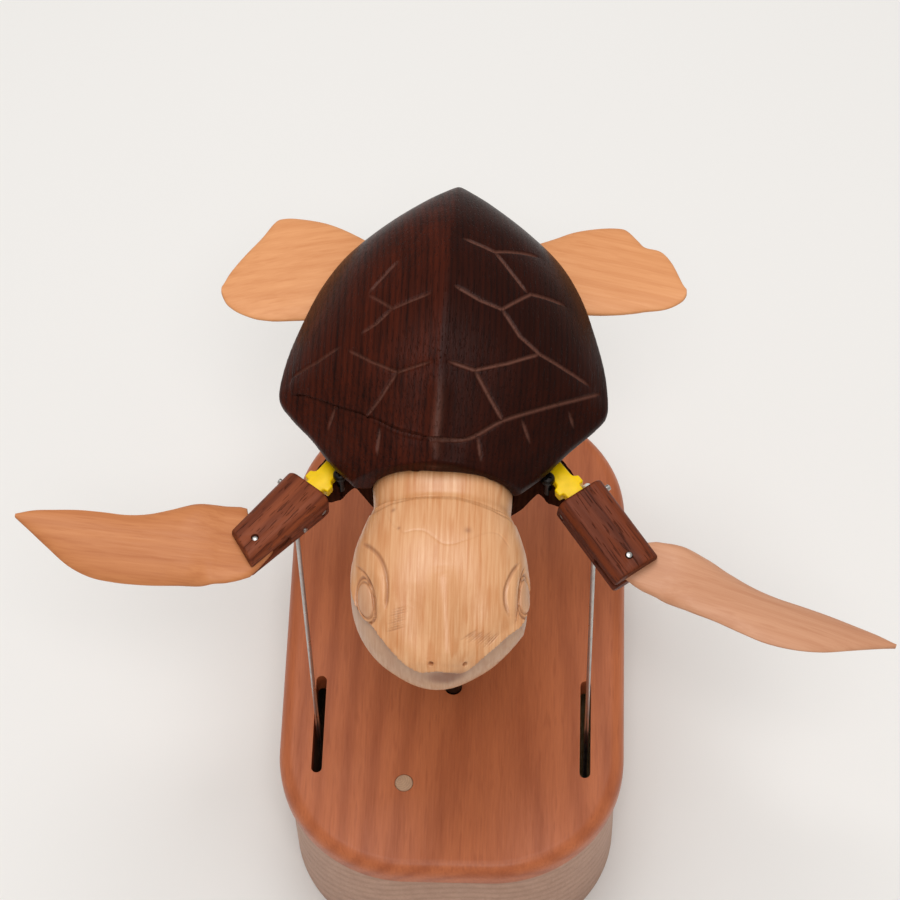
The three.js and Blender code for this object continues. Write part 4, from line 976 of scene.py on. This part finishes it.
def carve_eye(obj, centre, front, back, wide):
    """A long oval with two lines round it and a low ball inside. Gives how dark and how grey it is."""
    centre, front, back = (np.array(p, dtype=float) for p in (centre, front, back))
    points, normals = read_points(obj)
    near = np.linalg.norm(points - centre, axis=1) < 2
    facing = normals[near].mean(axis=0)
    facing /= np.linalg.norm(facing)
    long_way = front - back
    half = np.linalg.norm(long_way) / 2
    long_way -= facing * np.dot(long_way, facing)
    long_way /= np.linalg.norm(long_way)
    short_way = np.cross(facing, long_way)
    offset = points - centre
    around = np.hypot(offset @ long_way / half, offset @ short_way / wide)
    around = np.where(np.abs(offset @ facing) < 6, around, 9)
    outer = np.exp(-((around - 1) / 0.07) ** 2)
    inner = np.exp(-((around - 0.8) / 0.06) ** 2) * 0.8
    ball = np.sqrt(np.clip(1 - (around / 0.74) ** 2, 0, 1)) * 0.45
    socket = np.exp(-(around / 1.2) ** 6) * 0.3
    write_points(obj, points + normals * (ball - socket - 0.5 * outer - 0.42 * inner)[:, None])
    return np.clip(outer + inner, 0, 1), np.clip((0.78 - around) / 0.1, 0, 1)


class AUTOMATON_OT_head(bpy.types.Operator):
    """Carves the neck and head with the step of the cap, brows, eyes, nostrils and jaw"""
    bl_idname = "automaton.head"
    bl_label = "Head"

    def execute(self, context):
        sizes = context.scene.automaton_head
        head = lofted("carved_head", head_rings(sizes))
        reskin(head, sizes.skin, 2)
        for line, height, width in HEAD_SWELLS:
            swell(head, line, height, width)
        # The flat under the edge round the jaw is kept, to be greyed as a painted reflection
        write_shade(head, "second_tone_and_painted_sheen", crease(head, JAW_LINE, 0.45, 0.8, 9))
        refine(head, [Vector(eye[0]) for eye in EYES], 8.5)
        refine(head, [Vector(spot) for spot in NOSTRILS], 1.8, 4)
        deep, wide = sizes.cut_depth, sizes.cut_width
        # The cuts of the face are darkened by painted shade
        cuts = [(line, deep, wide, 0.75) for line in BROW_CUTS]
        cuts += [(line, deep * 0.7, wide * 0.6, 0.7) for line in LID_CUTS]
        cuts += [(NECK_STEP, deep * 0.7, wide * 1.3, 0.2), (CAP_CUT, deep * 0.25, wide * 0.5, 0.1)]
        cuts += [(line, deep * 0.4, 0.34, 0.6) for line in hatch_lines()]
        carve(head, cuts, 0.08, 2)
        dark, grey = np.zeros(len(head.data.vertices)), np.zeros(len(head.data.vertices))
        # The eye lines are darkened by painted shade
        for eye in EYES:
            line, ball = carve_eye(head, *eye, EYE_HALF_WIDTH)
            dark, grey = np.maximum(dark, line), np.maximum(grey, ball * 0.3)
        self.shape(head)
        self.tint(head, dark, grey)
        cut_away(head, rod("post_room", POST_RADIUS + 0.3, 150, POST_TOP + 0.3, at=POST_PLACE))
        wear(head, "maple", "base", "neck_and_head", angle=60)
        return {"FINISHED"}

    def shape(self, head):
        """The neck's fall behind the step, and the nostrils."""
        points, normals = read_points(head)
        x, y = points.T[:2]
        behind = y - np.interp(x, NECK_ACROSS, NECK_FRONT)
        drop = NECK_FALL * np.clip(behind / 0.8, 0, 1) * np.clip(1 - behind / NECK_FALL_LENGTH, 0, 1)
        for spot in NOSTRILS:
            away = np.linalg.norm(points - np.array(spot), axis=1)
            drop += NOSTRIL_DEPTH * np.exp(-(away / NOSTRIL_RADIUS) ** 2)
        write_points(head, points - normals * drop[:, None])

    def tint(self, head, dark, grey):
        """Painted shade in the cuts, the nostrils and on the beak, knots in the wood, and a painted grey
        reflection on the flats of the beak and jaw.
        """
        points = read_points(head)[0]
        dark = np.maximum(dark * 0.85, read_shade(head, "carved"))
        # Painted shade in the nostrils; the knots are the wood's own colour
        spots = [(spot, NOSTRIL_SHADE, 4, 1) for spot in NOSTRILS]
        spots += [(knot[:3], knot[3], 2, 0.7) for knot in HEAD_KNOTS]
        for spot, size, power, depth in spots:
            away = np.linalg.norm(points - np.array(spot), axis=1)
            dark = np.maximum(dark, np.exp(-(away / size) ** power) * depth)
        x, y, z = points.T
        # Painted shade on the beak, which faces down
        aside, over = (x - BEAK_MIDDLE[0]) / BEAK_HALF[0], (z - BEAK_MIDDLE[1]) / BEAK_HALF[1]
        beak = np.exp(-(aside ** 2 + over ** 2) ** 2)
        write_shade(head, "carved", np.maximum(dark, np.where(y < BEAK_START, beak, 0)))
        # The grey of the jaw's flats is a painted reflection; the eyeballs are greyed as well
        write_shade(head, "second_tone_and_painted_sheen", np.clip(np.maximum(0.75 * read_shade(head, "second_tone_and_painted_sheen"), grey), 0, 1))


class AUTOMATON_OT_body(bpy.types.Operator):
    """Rounds off the body under the shell and finishes the post"""
    bl_idname = "automaton.body"
    bl_label = "Body"

    def execute(self, context):
        body = bpy.data.objects.new("carved_body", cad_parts["body_block"].data.copy())
        bpy.context.collection.objects.link(body)
        mend(body)
        reskin(body, 0.8, 5)
        wear(body, "dull_wenge", "base", "body_block", angle=60)
        post = rod("post", POST_RADIUS, LID_BOTTOM, POST_TOP, at=POST_PLACE, chamfer=0.3, segments=40)
        wear(post, "black_steel", "base", "support_post")
        return {"FINISHED"}


# The rear flippers from root to tip: how far along, and where their front and back edges are
PADDLE_ROWS = {
    "left": [
        (-0.2, -0.34, 0.32), (0.05, -0.38, 0.55), (0.27, -0.41, 0.7), (0.48, -0.43, 0.76),
        (0.6, -0.44, 0.76), (0.66, -0.435, 0.71), (0.74, -0.42, 0.53), (0.82, -0.38, 0.38),
        (0.89, -0.33, 0.24), (0.95, -0.26, 0.1), (0.98, -0.19, 0), (1, -0.12, -0.06),
    ],
    "right": [
        (-0.2, -0.34, 0.32), (0.06, -0.38, 0.46), (0.21, -0.4, 0.55), (0.39, -0.41, 0.6),
        (0.53, -0.4, 0.605), (0.59, -0.39, 0.57), (0.66, -0.375, 0.46), (0.71, -0.36, 0.385),
        (0.82, -0.34, 0.34), (0.9, -0.3, 0.2), (0.97, -0.23, -0.03), (1, -0.16, -0.1),
    ],
}
PADDLE_STEPS = 40
PADDLE_MIDDLE = 56
PADDLE_ROOT, PADDLE_REACH, PADDLE_CHORD, PADDLE_TOP, PADDLE_HALF = 27, 43, 31, 182.4, 2.5


def flipper_wood(name, light, dark, turn, pith):
    return wood(name, light, dark, turn, pith, rings=3.2, ring_share=0.16, flecks=0.3, roughness=0.46,
                relief=0.1)


class AUTOMATON_OT_rear_flippers(bpy.types.Operator):
    """Shapes the two rear flippers"""
    bl_idname = "automaton.rear_flippers"
    bl_label = "Rear Flippers"

    def execute(self, context):
        t = tones()
        angles = 2 * np.pi * np.arange(PADDLE_STEPS) / PADDLE_STEPS
        across, up = squared(np.cos(angles), 0.8), squared(np.sin(angles), 0.8)
        for name, sign in (("left", -1), ("right", 1)):
            rings = []
            middle = PADDLE_MIDDLE + sign * 1.5
            for along, ahead, behind in smooth_rows(PADDLE_ROWS[name], 5):
                front, back = middle + PADDLE_CHORD * ahead, middle + PADDLE_CHORD * behind
                thin = 1 - 0.62 * max(0, along) ** 2
                rings.append(np.column_stack([
                    np.full(PADDLE_STEPS, sign * (PADDLE_ROOT + PADDLE_REACH * along)),
                    (front + back) / 2 + (back - front) / 2 * across,
                    PADDLE_TOP - PADDLE_HALF + PADDLE_HALF * thin * up,
                ]))
            flipper = lofted(f"rear_paddle_{name}", rings)
            modify(flipper, "SUBSURF", levels=1, render_levels=1)
            grain = (0, 0.06, -sign * 0.2)
            made = flipper_wood(f"rear_wood_{name}", t.orange, t.orange_dark, grain, (0, 0.045, 0.16))
            wear(flipper, made, "base", f"rear_flipper_{name}", angle=60)
        return {"FINISHED"}


# Front flippers and what carries them, each side in degrees and millimetres
SIDES = {
    "left": {
        "sign": -1, "flap": 3, "span": 70, "chord": 24, "sweep": -6, "rise": 1, "twist": 16,
        "inset": 8.1, "room": 8.6, "taper": 3.6, "skew": 6.4,
    },
    "right": {
        "sign": 1, "flap": -10, "span": 80.4, "chord": 21.5, "sweep": 15, "rise": 0.5, "twist": -28,
        "inset": 4.5, "room": 5.6, "taper": 0, "skew": 0,
    },
}
ARM_YAW = math.radians(53)
NAIL = (40.2, -18.8, 178)
NAIL_SHIFT = -0.8
NAIL_DROP = 0.8
ARM_START = -2.4
ARM_HALF = 7.7
ARM_RISE = 5.5
POCKET_INNER, POCKET_OUTER = 3.0, 4.9
ELBOW = 21.6
WIRE_EYE_X = 42.9
WIRE_ACROSS = 3.6
WIRE_RADIUS = 0.65
WIRE_EYE_RADIUS = 2.3
LINK_HALF_THICKNESS = 1.7
LINK_HALF_WIDTH, LINK_LENGTH = 2.7, 16
POCKET_TOP, POCKET_END = 3.6, 3.3
MORTISE_HALF_WIDTH, MORTISE_HALF_LENGTH, MORTISE_TOP = 1.6, 4.2, 3.25
ELBOW_SLOT_HALF = 1.8
PIN_HOLE = 1.15
CLEAR = 9
SCREW_ALONG, SCREW_ACROSS, SCREW_TURN = -11.5, 4.0, math.radians(28)


def shoulder_matrix(side):
    sign = side["sign"]
    spun = -ARM_YAW if sign > 0 else math.pi + ARM_YAW
    at = (sign * NAIL[0] + NAIL_SHIFT, NAIL[1], NAIL[2])
    return Matrix.Translation(at) @ Matrix.Rotation(spun, 4, "Z")


def arm_matrix(side):
    return shoulder_matrix(side) @ Matrix.Rotation(-math.radians(side["flap"]), 4, "Y")


def elbow_matrix(side):
    spun = side["sign"] * (ARM_YAW - math.radians(side["sweep"]))
    return arm_matrix(side) @ Matrix.Translation((ELBOW, 0, NAIL_DROP)) @ Matrix.Rotation(spun, 4, "Z")


def wire_along(side):
    outward = WIRE_EYE_X - NAIL[0] - side["sign"] * NAIL_SHIFT
    flat = outward + WIRE_ACROSS * math.sin(ARM_YAW)
    return flat / (math.cos(ARM_YAW) * math.cos(math.radians(side["flap"])))


def grain_along(matrix):
    """Turns the coordinates of a material so that its grain runs along a frame's X axis."""
    return matrix.to_3x3().to_euler("XYZ")


def across_arm(sign, towards, away):
    return sorted((-sign * towards, sign * away))


def arm_box(name, low_x, high_x, sides, low_z, high_z):
    return box(name, (low_x, sides[0], low_z), (high_x, sides[1], high_z))


def arm_outline(side):
    """The arm seen from above: narrower towards the elbow in front, with its end cut aslant."""
    end = ELBOW + side["inset"]
    lean = side["skew"] / (2 * ARM_HALF)
    fall = side["taper"] / (end + 1)
    corner = end / (1 + lean * fall)
    points = [(ARM_START, ARM_HALF), (0, ARM_HALF), (corner, ARM_HALF - fall * corner)]
    points += [(end - side["skew"], -ARM_HALF), (ARM_START, -ARM_HALF)]
    return [(x, -side["sign"] * ahead) for x, ahead in points]


class AUTOMATON_OT_upper_arms(bpy.types.Operator):
    """Makes the upper arms with the pocket of the shoulder, the elbow's slot and the wire's mortise"""
    bl_idname = "automaton.upper_arms"
    bl_label = "Upper Arms"

    def execute(self, context):
        t = tones()
        for name, side in SIDES.items():
            arm = plate("arm_" + name, arm_outline(side), NAIL_DROP - ARM_RISE, NAIL_DROP + ARM_RISE)
            steep = lambda edge: edge.verts[0].co - edge.verts[1].co
            long_edge = lambda edge: abs(steep(edge).x) > abs(steep(edge).y) + abs(steep(edge).z)
            bevel_edges(arm, long_edge, 3.5, 8)
            at_start = lambda edge: min(abs(v.co.x - ARM_START * MM) for v in edge.verts) < 1e-7
            bevel_edges(arm, lambda edge: at_start(edge) and abs(steep(edge).x) < 1e-7, 0.9, 3)
            soften(arm, 0.7, 3)
            cut_away(arm, *self.cutters(side))
            soften(arm, 0.22, 2)
            light, dark = (t.walnut, t.walnut_dark) if name == "left" else (t.right_arm, t.right_arm_dark)
            at = arm_matrix(side)
            made = wood(f"walnut_{name}", light, dark, grain_along(at), (0, 0.01, 0.15), rings=2.4,
                        ring_share=0.35, streak_share=0.42, pores=0.4, roughness=0.46, gloss=0.12, relief=0.2)
            wear(arm, made, f"{name}_arm", f"upper_arm_{name}", at, 32)
            self.nails(name, side)
        return {"FINISHED"}

    def cutters(self, side):
        """The pocket, the elbow's slot, the mortise of the wire and the holes of nail and pin."""
        sign, along = side["sign"], wire_along(side)
        pocket = across_arm(sign, POCKET_INNER, POCKET_OUTER)
        mortise = across_arm(sign, WIRE_ACROSS + MORTISE_HALF_WIDTH, MORTISE_HALF_WIDTH - WIRE_ACROSS)
        mortise_ends = (along - MORTISE_HALF_LENGTH, along + MORTISE_HALF_LENGTH)
        slot = (NAIL_DROP - ELBOW_SLOT_HALF, NAIL_DROP + ELBOW_SLOT_HALF)
        return [
            arm_box("pocket", ARM_START - 3, POCKET_END, pocket, -CLEAR, POCKET_TOP),
            arm_box("elbow_slot", ELBOW - side["room"], ELBOW + 12, (-CLEAR, CLEAR), *slot),
            arm_box("mortise", *mortise_ends, mortise, -CLEAR, MORTISE_TOP),
            rod("nail_hole", PIN_HOLE, -CLEAR, CLEAR, "y"),
            rod("elbow_hole", PIN_HOLE, -CLEAR, CLEAR, "z", (ELBOW, 0, 0)),
        ]

    def nails(self, name, side):
        """The nail of the shoulder, the pin of the elbow, sunk on the left, and the pin of the wire."""
        head = lambda end: [(0.9, end - 0.35), (0.86, end - 0.12), (0.62, end), (0, end + 0.06)]
        profile = [(r, side["sign"] * h) for r, h in [(0, -7.4), (0.9, -7.4), *head(9.8)]]
        nail = turned(f"nail_{name}", profile, "y", segments=24)
        up = 6.0 if side["sign"] > 0 else 5.0
        profile = [(0, -up), *[(r, -h) for r, h in reversed(head(up))][1:], *head(up)]
        pin = turned(f"elbow_nail_{name}", profile, "z", (ELBOW, 0, NAIL_DROP), 24)
        ends = across_arm(side["sign"], 7.4, 3.2 - WIRE_ACROSS)
        wire_pin = rod(f"wire_nail_{name}", 0.7, *ends, "y", (wire_along(side), 0, 0), 20, 0.15)
        for piece, node in ((nail, "shoulder_nail"), (pin, "elbow_pin"), (wire_pin, "wire_pin")):
            wear(piece, "steel", f"{name}_arm", f"{node}_{name}", matrix=arm_matrix(side))


def link_outline():
    """A yellow link seen from above: a bar with round ends and a block that flares out beside the arm."""
    flare_x, flare = -5.25, 4.3
    bar_x = flare_x - 2.6
    half = LINK_HALF_WIDTH
    foot = [(bar_x, flare), (bar_x - 0.25, 3.45), (bar_x - 0.8, 2.85), (bar_x - 1.6, half)]
    upper = [(flare_x, half), (flare_x, flare), *foot]
    lower = [(x, -y) for x, y in reversed(upper)]
    return arc((0, 0), half, -90, 90, 14) + upper + arc((-LINK_LENGTH, 0), half, 90, 270, 14) + lower


class AUTOMATON_OT_shoulders(bpy.types.Operator):
    """Makes the yellow links, the screws that clamp them and the white washers"""
    bl_idname = "automaton.shoulders"
    bl_label = "Shoulders"

    def execute(self, context):
        for name, side in SIDES.items():
            at_shoulder = shoulder_matrix(side)
            link = plate(f"link_{name}", link_outline(), -LINK_HALF_THICKNESS, LINK_HALF_THICKNESS)
            soften(link, 0.5, 3)
            cut_away(link, rod("link_hole", 1.2, -CLEAR, CLEAR, "y"))
            wear(link, "yellow_plastic", "base", f"shoulder_link_{name}", matrix=at_shoulder)
            self.screw(name, side, at_shoulder)
            low, high = sorted((side["sign"] * POCKET_INNER, side["sign"] * 4.6))
            profile = [(1.2, low), (4.2, low), (4.4, low + 0.2), (4.4, high - 0.2), (4.2, high)]
            washer = turned(f"washer_{name}", [*profile, (1.2, high), (1.2, low)], "y")
            cut_away(washer, box("washer_flat", (-CLEAR, -CLEAR, POCKET_END), (CLEAR, CLEAR, CLEAR)))
            wear(washer, "white_plastic", f"{name}_arm", f"shoulder_washer_{name}", matrix=arm_matrix(side))
        return {"FINISHED"}

    def screw(self, name, side, at_shoulder):
        """A round head with a cross recess, and a pointed shank."""
        head = [(2.1, 2.0), (2.1, 2.5), (1.95, 3.1), (1.5, 3.55), (0.8, 3.78), (0, 3.8)]
        screw = turned(f"clamp_{name}", [(0, -6.7), (1, -5.7), (1, 2.0), *head], segments=32)
        arms = [box("cross", (-x, -y, 3.0), (x, y, 5)) for x, y in ((1.25, 0.22), (0.22, 1.25))]
        cut_away(screw, *arms)
        at = Matrix.Translation((SCREW_ALONG, -side["sign"] * SCREW_ACROSS, 0))
        at = at @ Matrix.Rotation(SCREW_TURN, 4, "Z")
        wear(screw, "black_steel", "base", f"clamp_screw_{name}", matrix=at_shoulder @ at)


# The front flippers from elbow to tip: how far along, how far ahead, how far behind and how thick.
# The roots differ and the tips are alike. The rows of the tongues count in steps of 5 mm
BLADE_START = 0.14
BLADE_ROOTS = {
    "left": [
        (BLADE_START, 0.57, 0.51, 0.62), (0.2, 0.6, 0.49, 0.85), (0.28, 0.6, 0.44, 1),
        (0.37, 0.635, 0.33, 1), (0.46, 0.655, 0.235, 0.95),
    ],
    "right": [
        (BLADE_START, 0.36, 0.44, 0.62), (0.2, 0.41, 0.46, 0.85), (0.28, 0.48, 0.44, 1),
        (0.37, 0.535, 0.33, 1), (0.46, 0.605, 0.235, 0.95),
    ],
}
BLADE_ROWS = [
    (0.55, 0.66, 0.19, 0.86), (0.65, 0.635, 0.185, 0.76), (0.75, 0.53, 0.17, 0.64),
    (0.85, 0.335, 0.13, 0.52), (0.93, 0.17, 0.09, 0.42), (1, 0.03, 0.02, 0.28),
]
TONGUE_ROWS = {
    "left": [
        (-0.99, 0.1, 0.1), (-0.88, 0.46, 0.46), (-0.65, 0.9, 0.8), (-0.34, 1.5, 1.1), (0, 2, 1.52),
        (0.4, 2.22, 1.78), (0.76, 2.4, 2), (0.92, 2.46, 2.46), (1.3, 2.6, 2.52),
    ],
    "right": [
        (-0.99, 0.1, 0.1), (-0.88, 0.46, 0.46), (-0.65, 0.74, 0.74), (-0.34, 0.92, 0.92), (0, 0.98, 0.98),
        (0.4, 1.1, 1.2), (0.8, 1.27, 1.5), (1.3, 1.42, 1.72),
    ],
}
TONGUE_STEP = 5
TONGUE_THICKNESS = 3.0
BLADE_THICKNESS = 5.4
BLADE_STEPS = 20


def blade_ring(x, ahead, behind, thickness, side, flat):
    """One ring of a flipper: a lens on the blade and a flat slab on the tongue."""
    root = side["span"] * BLADE_START
    share = max(0, (x - root) / (side["span"] - root))
    eased = min(1, share / 0.16)
    twist = math.radians(side["twist"]) * share ** 0.25 * eased * eased * (3 - 2 * eased)
    slant = 4 * max(0, 1 - 4 * share) * min(1, share * 6)
    power = 8 - 5.6 * (1 - flat)
    q = -np.cos(np.pi * np.arange(BLADE_STEPS + 1) / BLADE_STEPS)
    across = (behind - ahead) / 2 + (behind + ahead) / 2 * q
    half = np.maximum(thickness / 2 * (1 - np.abs(q) ** power) ** 0.6, thickness * 0.04)
    back = slant * np.maximum(0, -across / ahead)
    ring = []
    for surface, order in ((1, slice(None)), (-1, slice(None, None, -1))):
        up = surface * half[order]
        y = across[order] * math.cos(twist) - up * math.sin(twist)
        z = across[order] * math.sin(twist) + up * math.cos(twist)
        ring.append(np.column_stack([x - back[order], side["sign"] * y, z + side["rise"] * share * share]))
    return np.vstack(ring)


class AUTOMATON_OT_front_flippers(bpy.types.Operator):
    """Shapes the front flippers with the flat tongue of the elbow"""
    bl_idname = "automaton.front_flippers"
    bl_label = "Front Flippers"

    def execute(self, context):
        t = tones()
        for name, side in SIDES.items():
            tongue = np.array(TONGUE_ROWS[name]) * TONGUE_STEP
            rings = [blade_ring(*row, TONGUE_THICKNESS, side, 1.0) for row in tongue]
            for along, ahead, behind, thick in smooth_rows([*BLADE_ROOTS[name], *BLADE_ROWS], 6):
                flat = float(np.clip((0.34 - along) / 0.2, 0, 1))
                thickness = max(BLADE_THICKNESS * thick, TONGUE_THICKNESS if along < 0.18 else 0)
                reach, chord = side["span"] * along, side["chord"]
                rings.append(blade_ring(reach, chord * ahead, chord * behind, thickness, side, flat))
            flipper = lofted(f"flipper_{name}", rings)
            cut_away(flipper, rod("pin_hole", 1.2, -8, 8))
            # The right flipper's paler tone is a painted sheen
            light, dark = getattr(t, f"{name}_blade"), getattr(t, f"{name}_blade_dark")
            at = elbow_matrix(side)
            made = flipper_wood(f"flipper_wood_{name}", light, dark, grain_along(at), (0, 0.02, 0.152))
            wear(flipper, made, f"{name}_flipper", f"front_flipper_{name}", at, 45)
        return {"FINISHED"}


class AUTOMATON_OT_push_wires(bpy.types.Operator):
    """Bends the two push wires, with an eye at each end"""
    bl_idname = "automaton.push_wires"
    bl_label = "Push Wires"

    def execute(self, context):
        for name, side in SIDES.items():
            upper = arm_matrix(side) @ Vector((wire_along(side), -side["sign"] * WIRE_ACROSS, 0))
            lower = Vector((upper.x, CRANK_PIN_Y, SHAFT_HEIGHT))
            down = (lower - upper).normalized()
            along_arm = shoulder_matrix(side).to_3x3() @ Vector((1, 0, 0))
            path = self.eye(upper, along_arm, down)[::-1] + self.eye(lower, Vector((0, 1, 0)), -down)
            curve = bpy.data.curves.new(f"wire_{name}", "CURVE")
            curve.dimensions = "3D"
            curve.bevel_depth = WIRE_RADIUS * MM
            curve.bevel_resolution = 3
            curve.use_fill_caps = True
            spline = curve.splines.new("POLY")
            spline.points.add(len(path) - 1)
            for point, at in zip(spline.points, path):
                point.co = (*(at * MM), 1)
            wire = bpy.data.objects.new(f"wire_{name}", curve)
            context.collection.objects.link(wire)
            choose(wire)
            bpy.ops.object.convert(target="MESH")
            wear(context.object, "steel", f"{name}_wire", f"push_wire_{name}", angle=50)
        return {"FINISHED"}

    def eye(self, middle, across, up):
        """A round eye, from its start beside the run to its closed end."""
        side_way = (across - up * across.dot(up)).normalized()
        points = [middle + up * 6 + side_way * 0.1]
        for angle in np.radians(np.arange(20, 351, 15)):
            points.append(middle + (up * math.cos(angle) + side_way * math.sin(angle)) * WIRE_EYE_RADIUS)
        return points


# The turned knob, as shares of its radius and of its length
KNOB_ROWS = [
    (0.5, 0), (0.62, 0.012), (0.7, 0.03), (0.72, 0.05), (0.66, 0.075), (0.62, 0.09), (0.64, 0.1),
    (0.7, 0.15), (0.76, 0.25), (0.84, 0.4), (0.94, 0.56), (1, 0.7), (0.985, 0.8), (0.92, 0.88), (0.8, 0.95),
    (0.66, 0.99), (0.5, 1),
]
KNOB_START, KNOB_LENGTH, KNOB_RADIUS = 94.8, 24, 7
BUSH_PROFILE = [
    (2.8, 76.7), (4.5, 76.7), (4.5, 83.7), (7, 83.7), (7, 85.7), (6.6, 86.2), (3.1, 86.2), (2.8, 85.9),
    (2.8, 76.7),
]
SPINDLE_PROFILE = [
    (0, 87), (1.7, 87), (2, 87.3), (2, 119.1), (3.3, 119.1), (3.5, 119.4), (3.3, 120.1), (2.4, 120.6),
    (0, 120.7),
]
CRANK_SIDE = [(5.55, -6), (5.3, -10), (5.4, -14)]


class AUTOMATON_OT_hand_crank(bpy.types.Operator):
    """Makes the bush, the crank arm and the turned knob at the back"""
    bl_idname = "automaton.hand_crank"
    bl_label = "Hand Crank"

    def execute(self, context):
        bush = turned("bush", BUSH_PROFILE, "y", SHAFT_PLACE)
        wear(bush, "brass", "base", "rear_bush")
        outline = arc((0, 0), 6.5, 0, 180, 24) + [(-x, y) for x, y in CRANK_SIDE]
        outline += arc((0, -CRANK_REACH), 5.525, 180, 360, 24) + CRANK_SIDE[::-1]
        arm = plate("crank", outline, -3.5, 3.5)
        soften(arm, 0.8, 3)
        spindle_hole = rod("spindle_hole", 2.05, -9, 9, at=(0, -CRANK_REACH, 0))
        cut_away(arm, rod("shaft_hole", 2.55, -9, 9), spindle_hole)
        at = Matrix.Translation((0, 90.5, SHAFT_HEIGHT)) @ Matrix.Rotation(math.pi / 2, 4, "X")
        wear(arm, "walnut_crank", "crank", "crank_arm", at)
        shaft = rod("drive_shaft", 2.5, -24, 95.2, "y", SHAFT_PLACE, 40, 0.4)
        wear(shaft, "steel", "crank", "input_shaft")
        ends = [(2.3, KNOB_START), (2.3, KNOB_START + KNOB_LENGTH), (2.3, KNOB_START)]
        shape = [(KNOB_RADIUS * wide, KNOB_START + KNOB_LENGTH * along) for wide, along in KNOB_ROWS]
        knob = turned("knob", [ends[0], *shape, *ends[1:]], "y", KNOB_PLACE, 64)
        wear(knob, "turned_maple", "knob", "crank_knob")
        spindle = turned("spindle", SPINDLE_PROFILE, "y", KNOB_PLACE, 36)
        middle = KNOB_PLACE[2]
        cut_away(spindle, box("driver_slot", (-4, 120.1, middle - 0.4), (4, 122, middle + 0.4)))
        wear(spindle, "steel", "crank", "knob_spindle")
        return {"FINISHED"}


PLAIN_NODES = {
    "plywood": ("bottom_board", "crankshaft_bearing_left", "crankshaft_bearing_right", "input_bearing"),
    "brass": ("floor_screw_left", "floor_screw_right", "floor_screw_back", "shaft_collar"),
    "turned_maple": ("crank_disc_left", "crank_disc_right", "driven_wheel", "crown_wheel"),
    "steel": ("crank_pin_left", "crank_pin_right", "crankshaft"),
}


class AUTOMATON_OT_mechanism(bpy.types.Operator):
    """Finishes the works inside the box"""
    bl_idname = "automaton.mechanism"
    bl_label = "Works"

    def execute(self, context):
        for key, names in PLAIN_NODES.items():
            for name in names:
                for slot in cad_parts[name].material_slots:
                    slot.material = finish_of(key)
        return {"FINISHED"}


class AUTOMATON_PT_panel(bpy.types.Panel):
    """Lists the pieces of the automaton"""
    bl_label = "Automaton"
    bl_space_type = "VIEW_3D"
    bl_region_type = "UI"
    bl_category = "Automaton"

    def draw(self, context):
        for operator in OPERATORS:
            self.layout.operator(operator.bl_idname)
        for name in GROUPS:
            group = getattr(context.scene, name)
            for key in group.__annotations__:
                self.layout.prop(group, key)


GROUPS = {
    "automaton_tones": AutomatonTones,
    "automaton_shell": AutomatonShell,
    "automaton_head": AutomatonHead,
    "automaton_stage": AutomatonStage,
}
OPERATORS = (
    AUTOMATON_OT_stage,
    AUTOMATON_OT_lid,
    AUTOMATON_OT_wall,
    AUTOMATON_OT_mechanism,
    AUTOMATON_OT_hand_crank,
    AUTOMATON_OT_body,
    AUTOMATON_OT_shell,
    AUTOMATON_OT_head,
    AUTOMATON_OT_rear_flippers,
    AUTOMATON_OT_shoulders,
    AUTOMATON_OT_upper_arms,
    AUTOMATON_OT_front_flippers,
    AUTOMATON_OT_push_wires,
)


def register():
    for each in (*GROUPS.values(), *OPERATORS, AUTOMATON_PT_panel):
        bpy.utils.register_class(each)
    for key, group in GROUPS.items():
        setattr(bpy.types.Scene, key, PointerProperty(type=group))


def unregister():
    for key in GROUPS:
        delattr(bpy.types.Scene, key)
    for each in (AUTOMATON_PT_panel, *reversed(OPERATORS), *GROUPS.values()):
        bpy.utils.unregister_class(each)


def main():
    register()
    for operator in OPERATORS:
        family, action = operator.bl_idname.split(".")
        getattr(getattr(bpy.ops, family), action)()
    clear_selection()


if __name__ == "__main__":
    main()
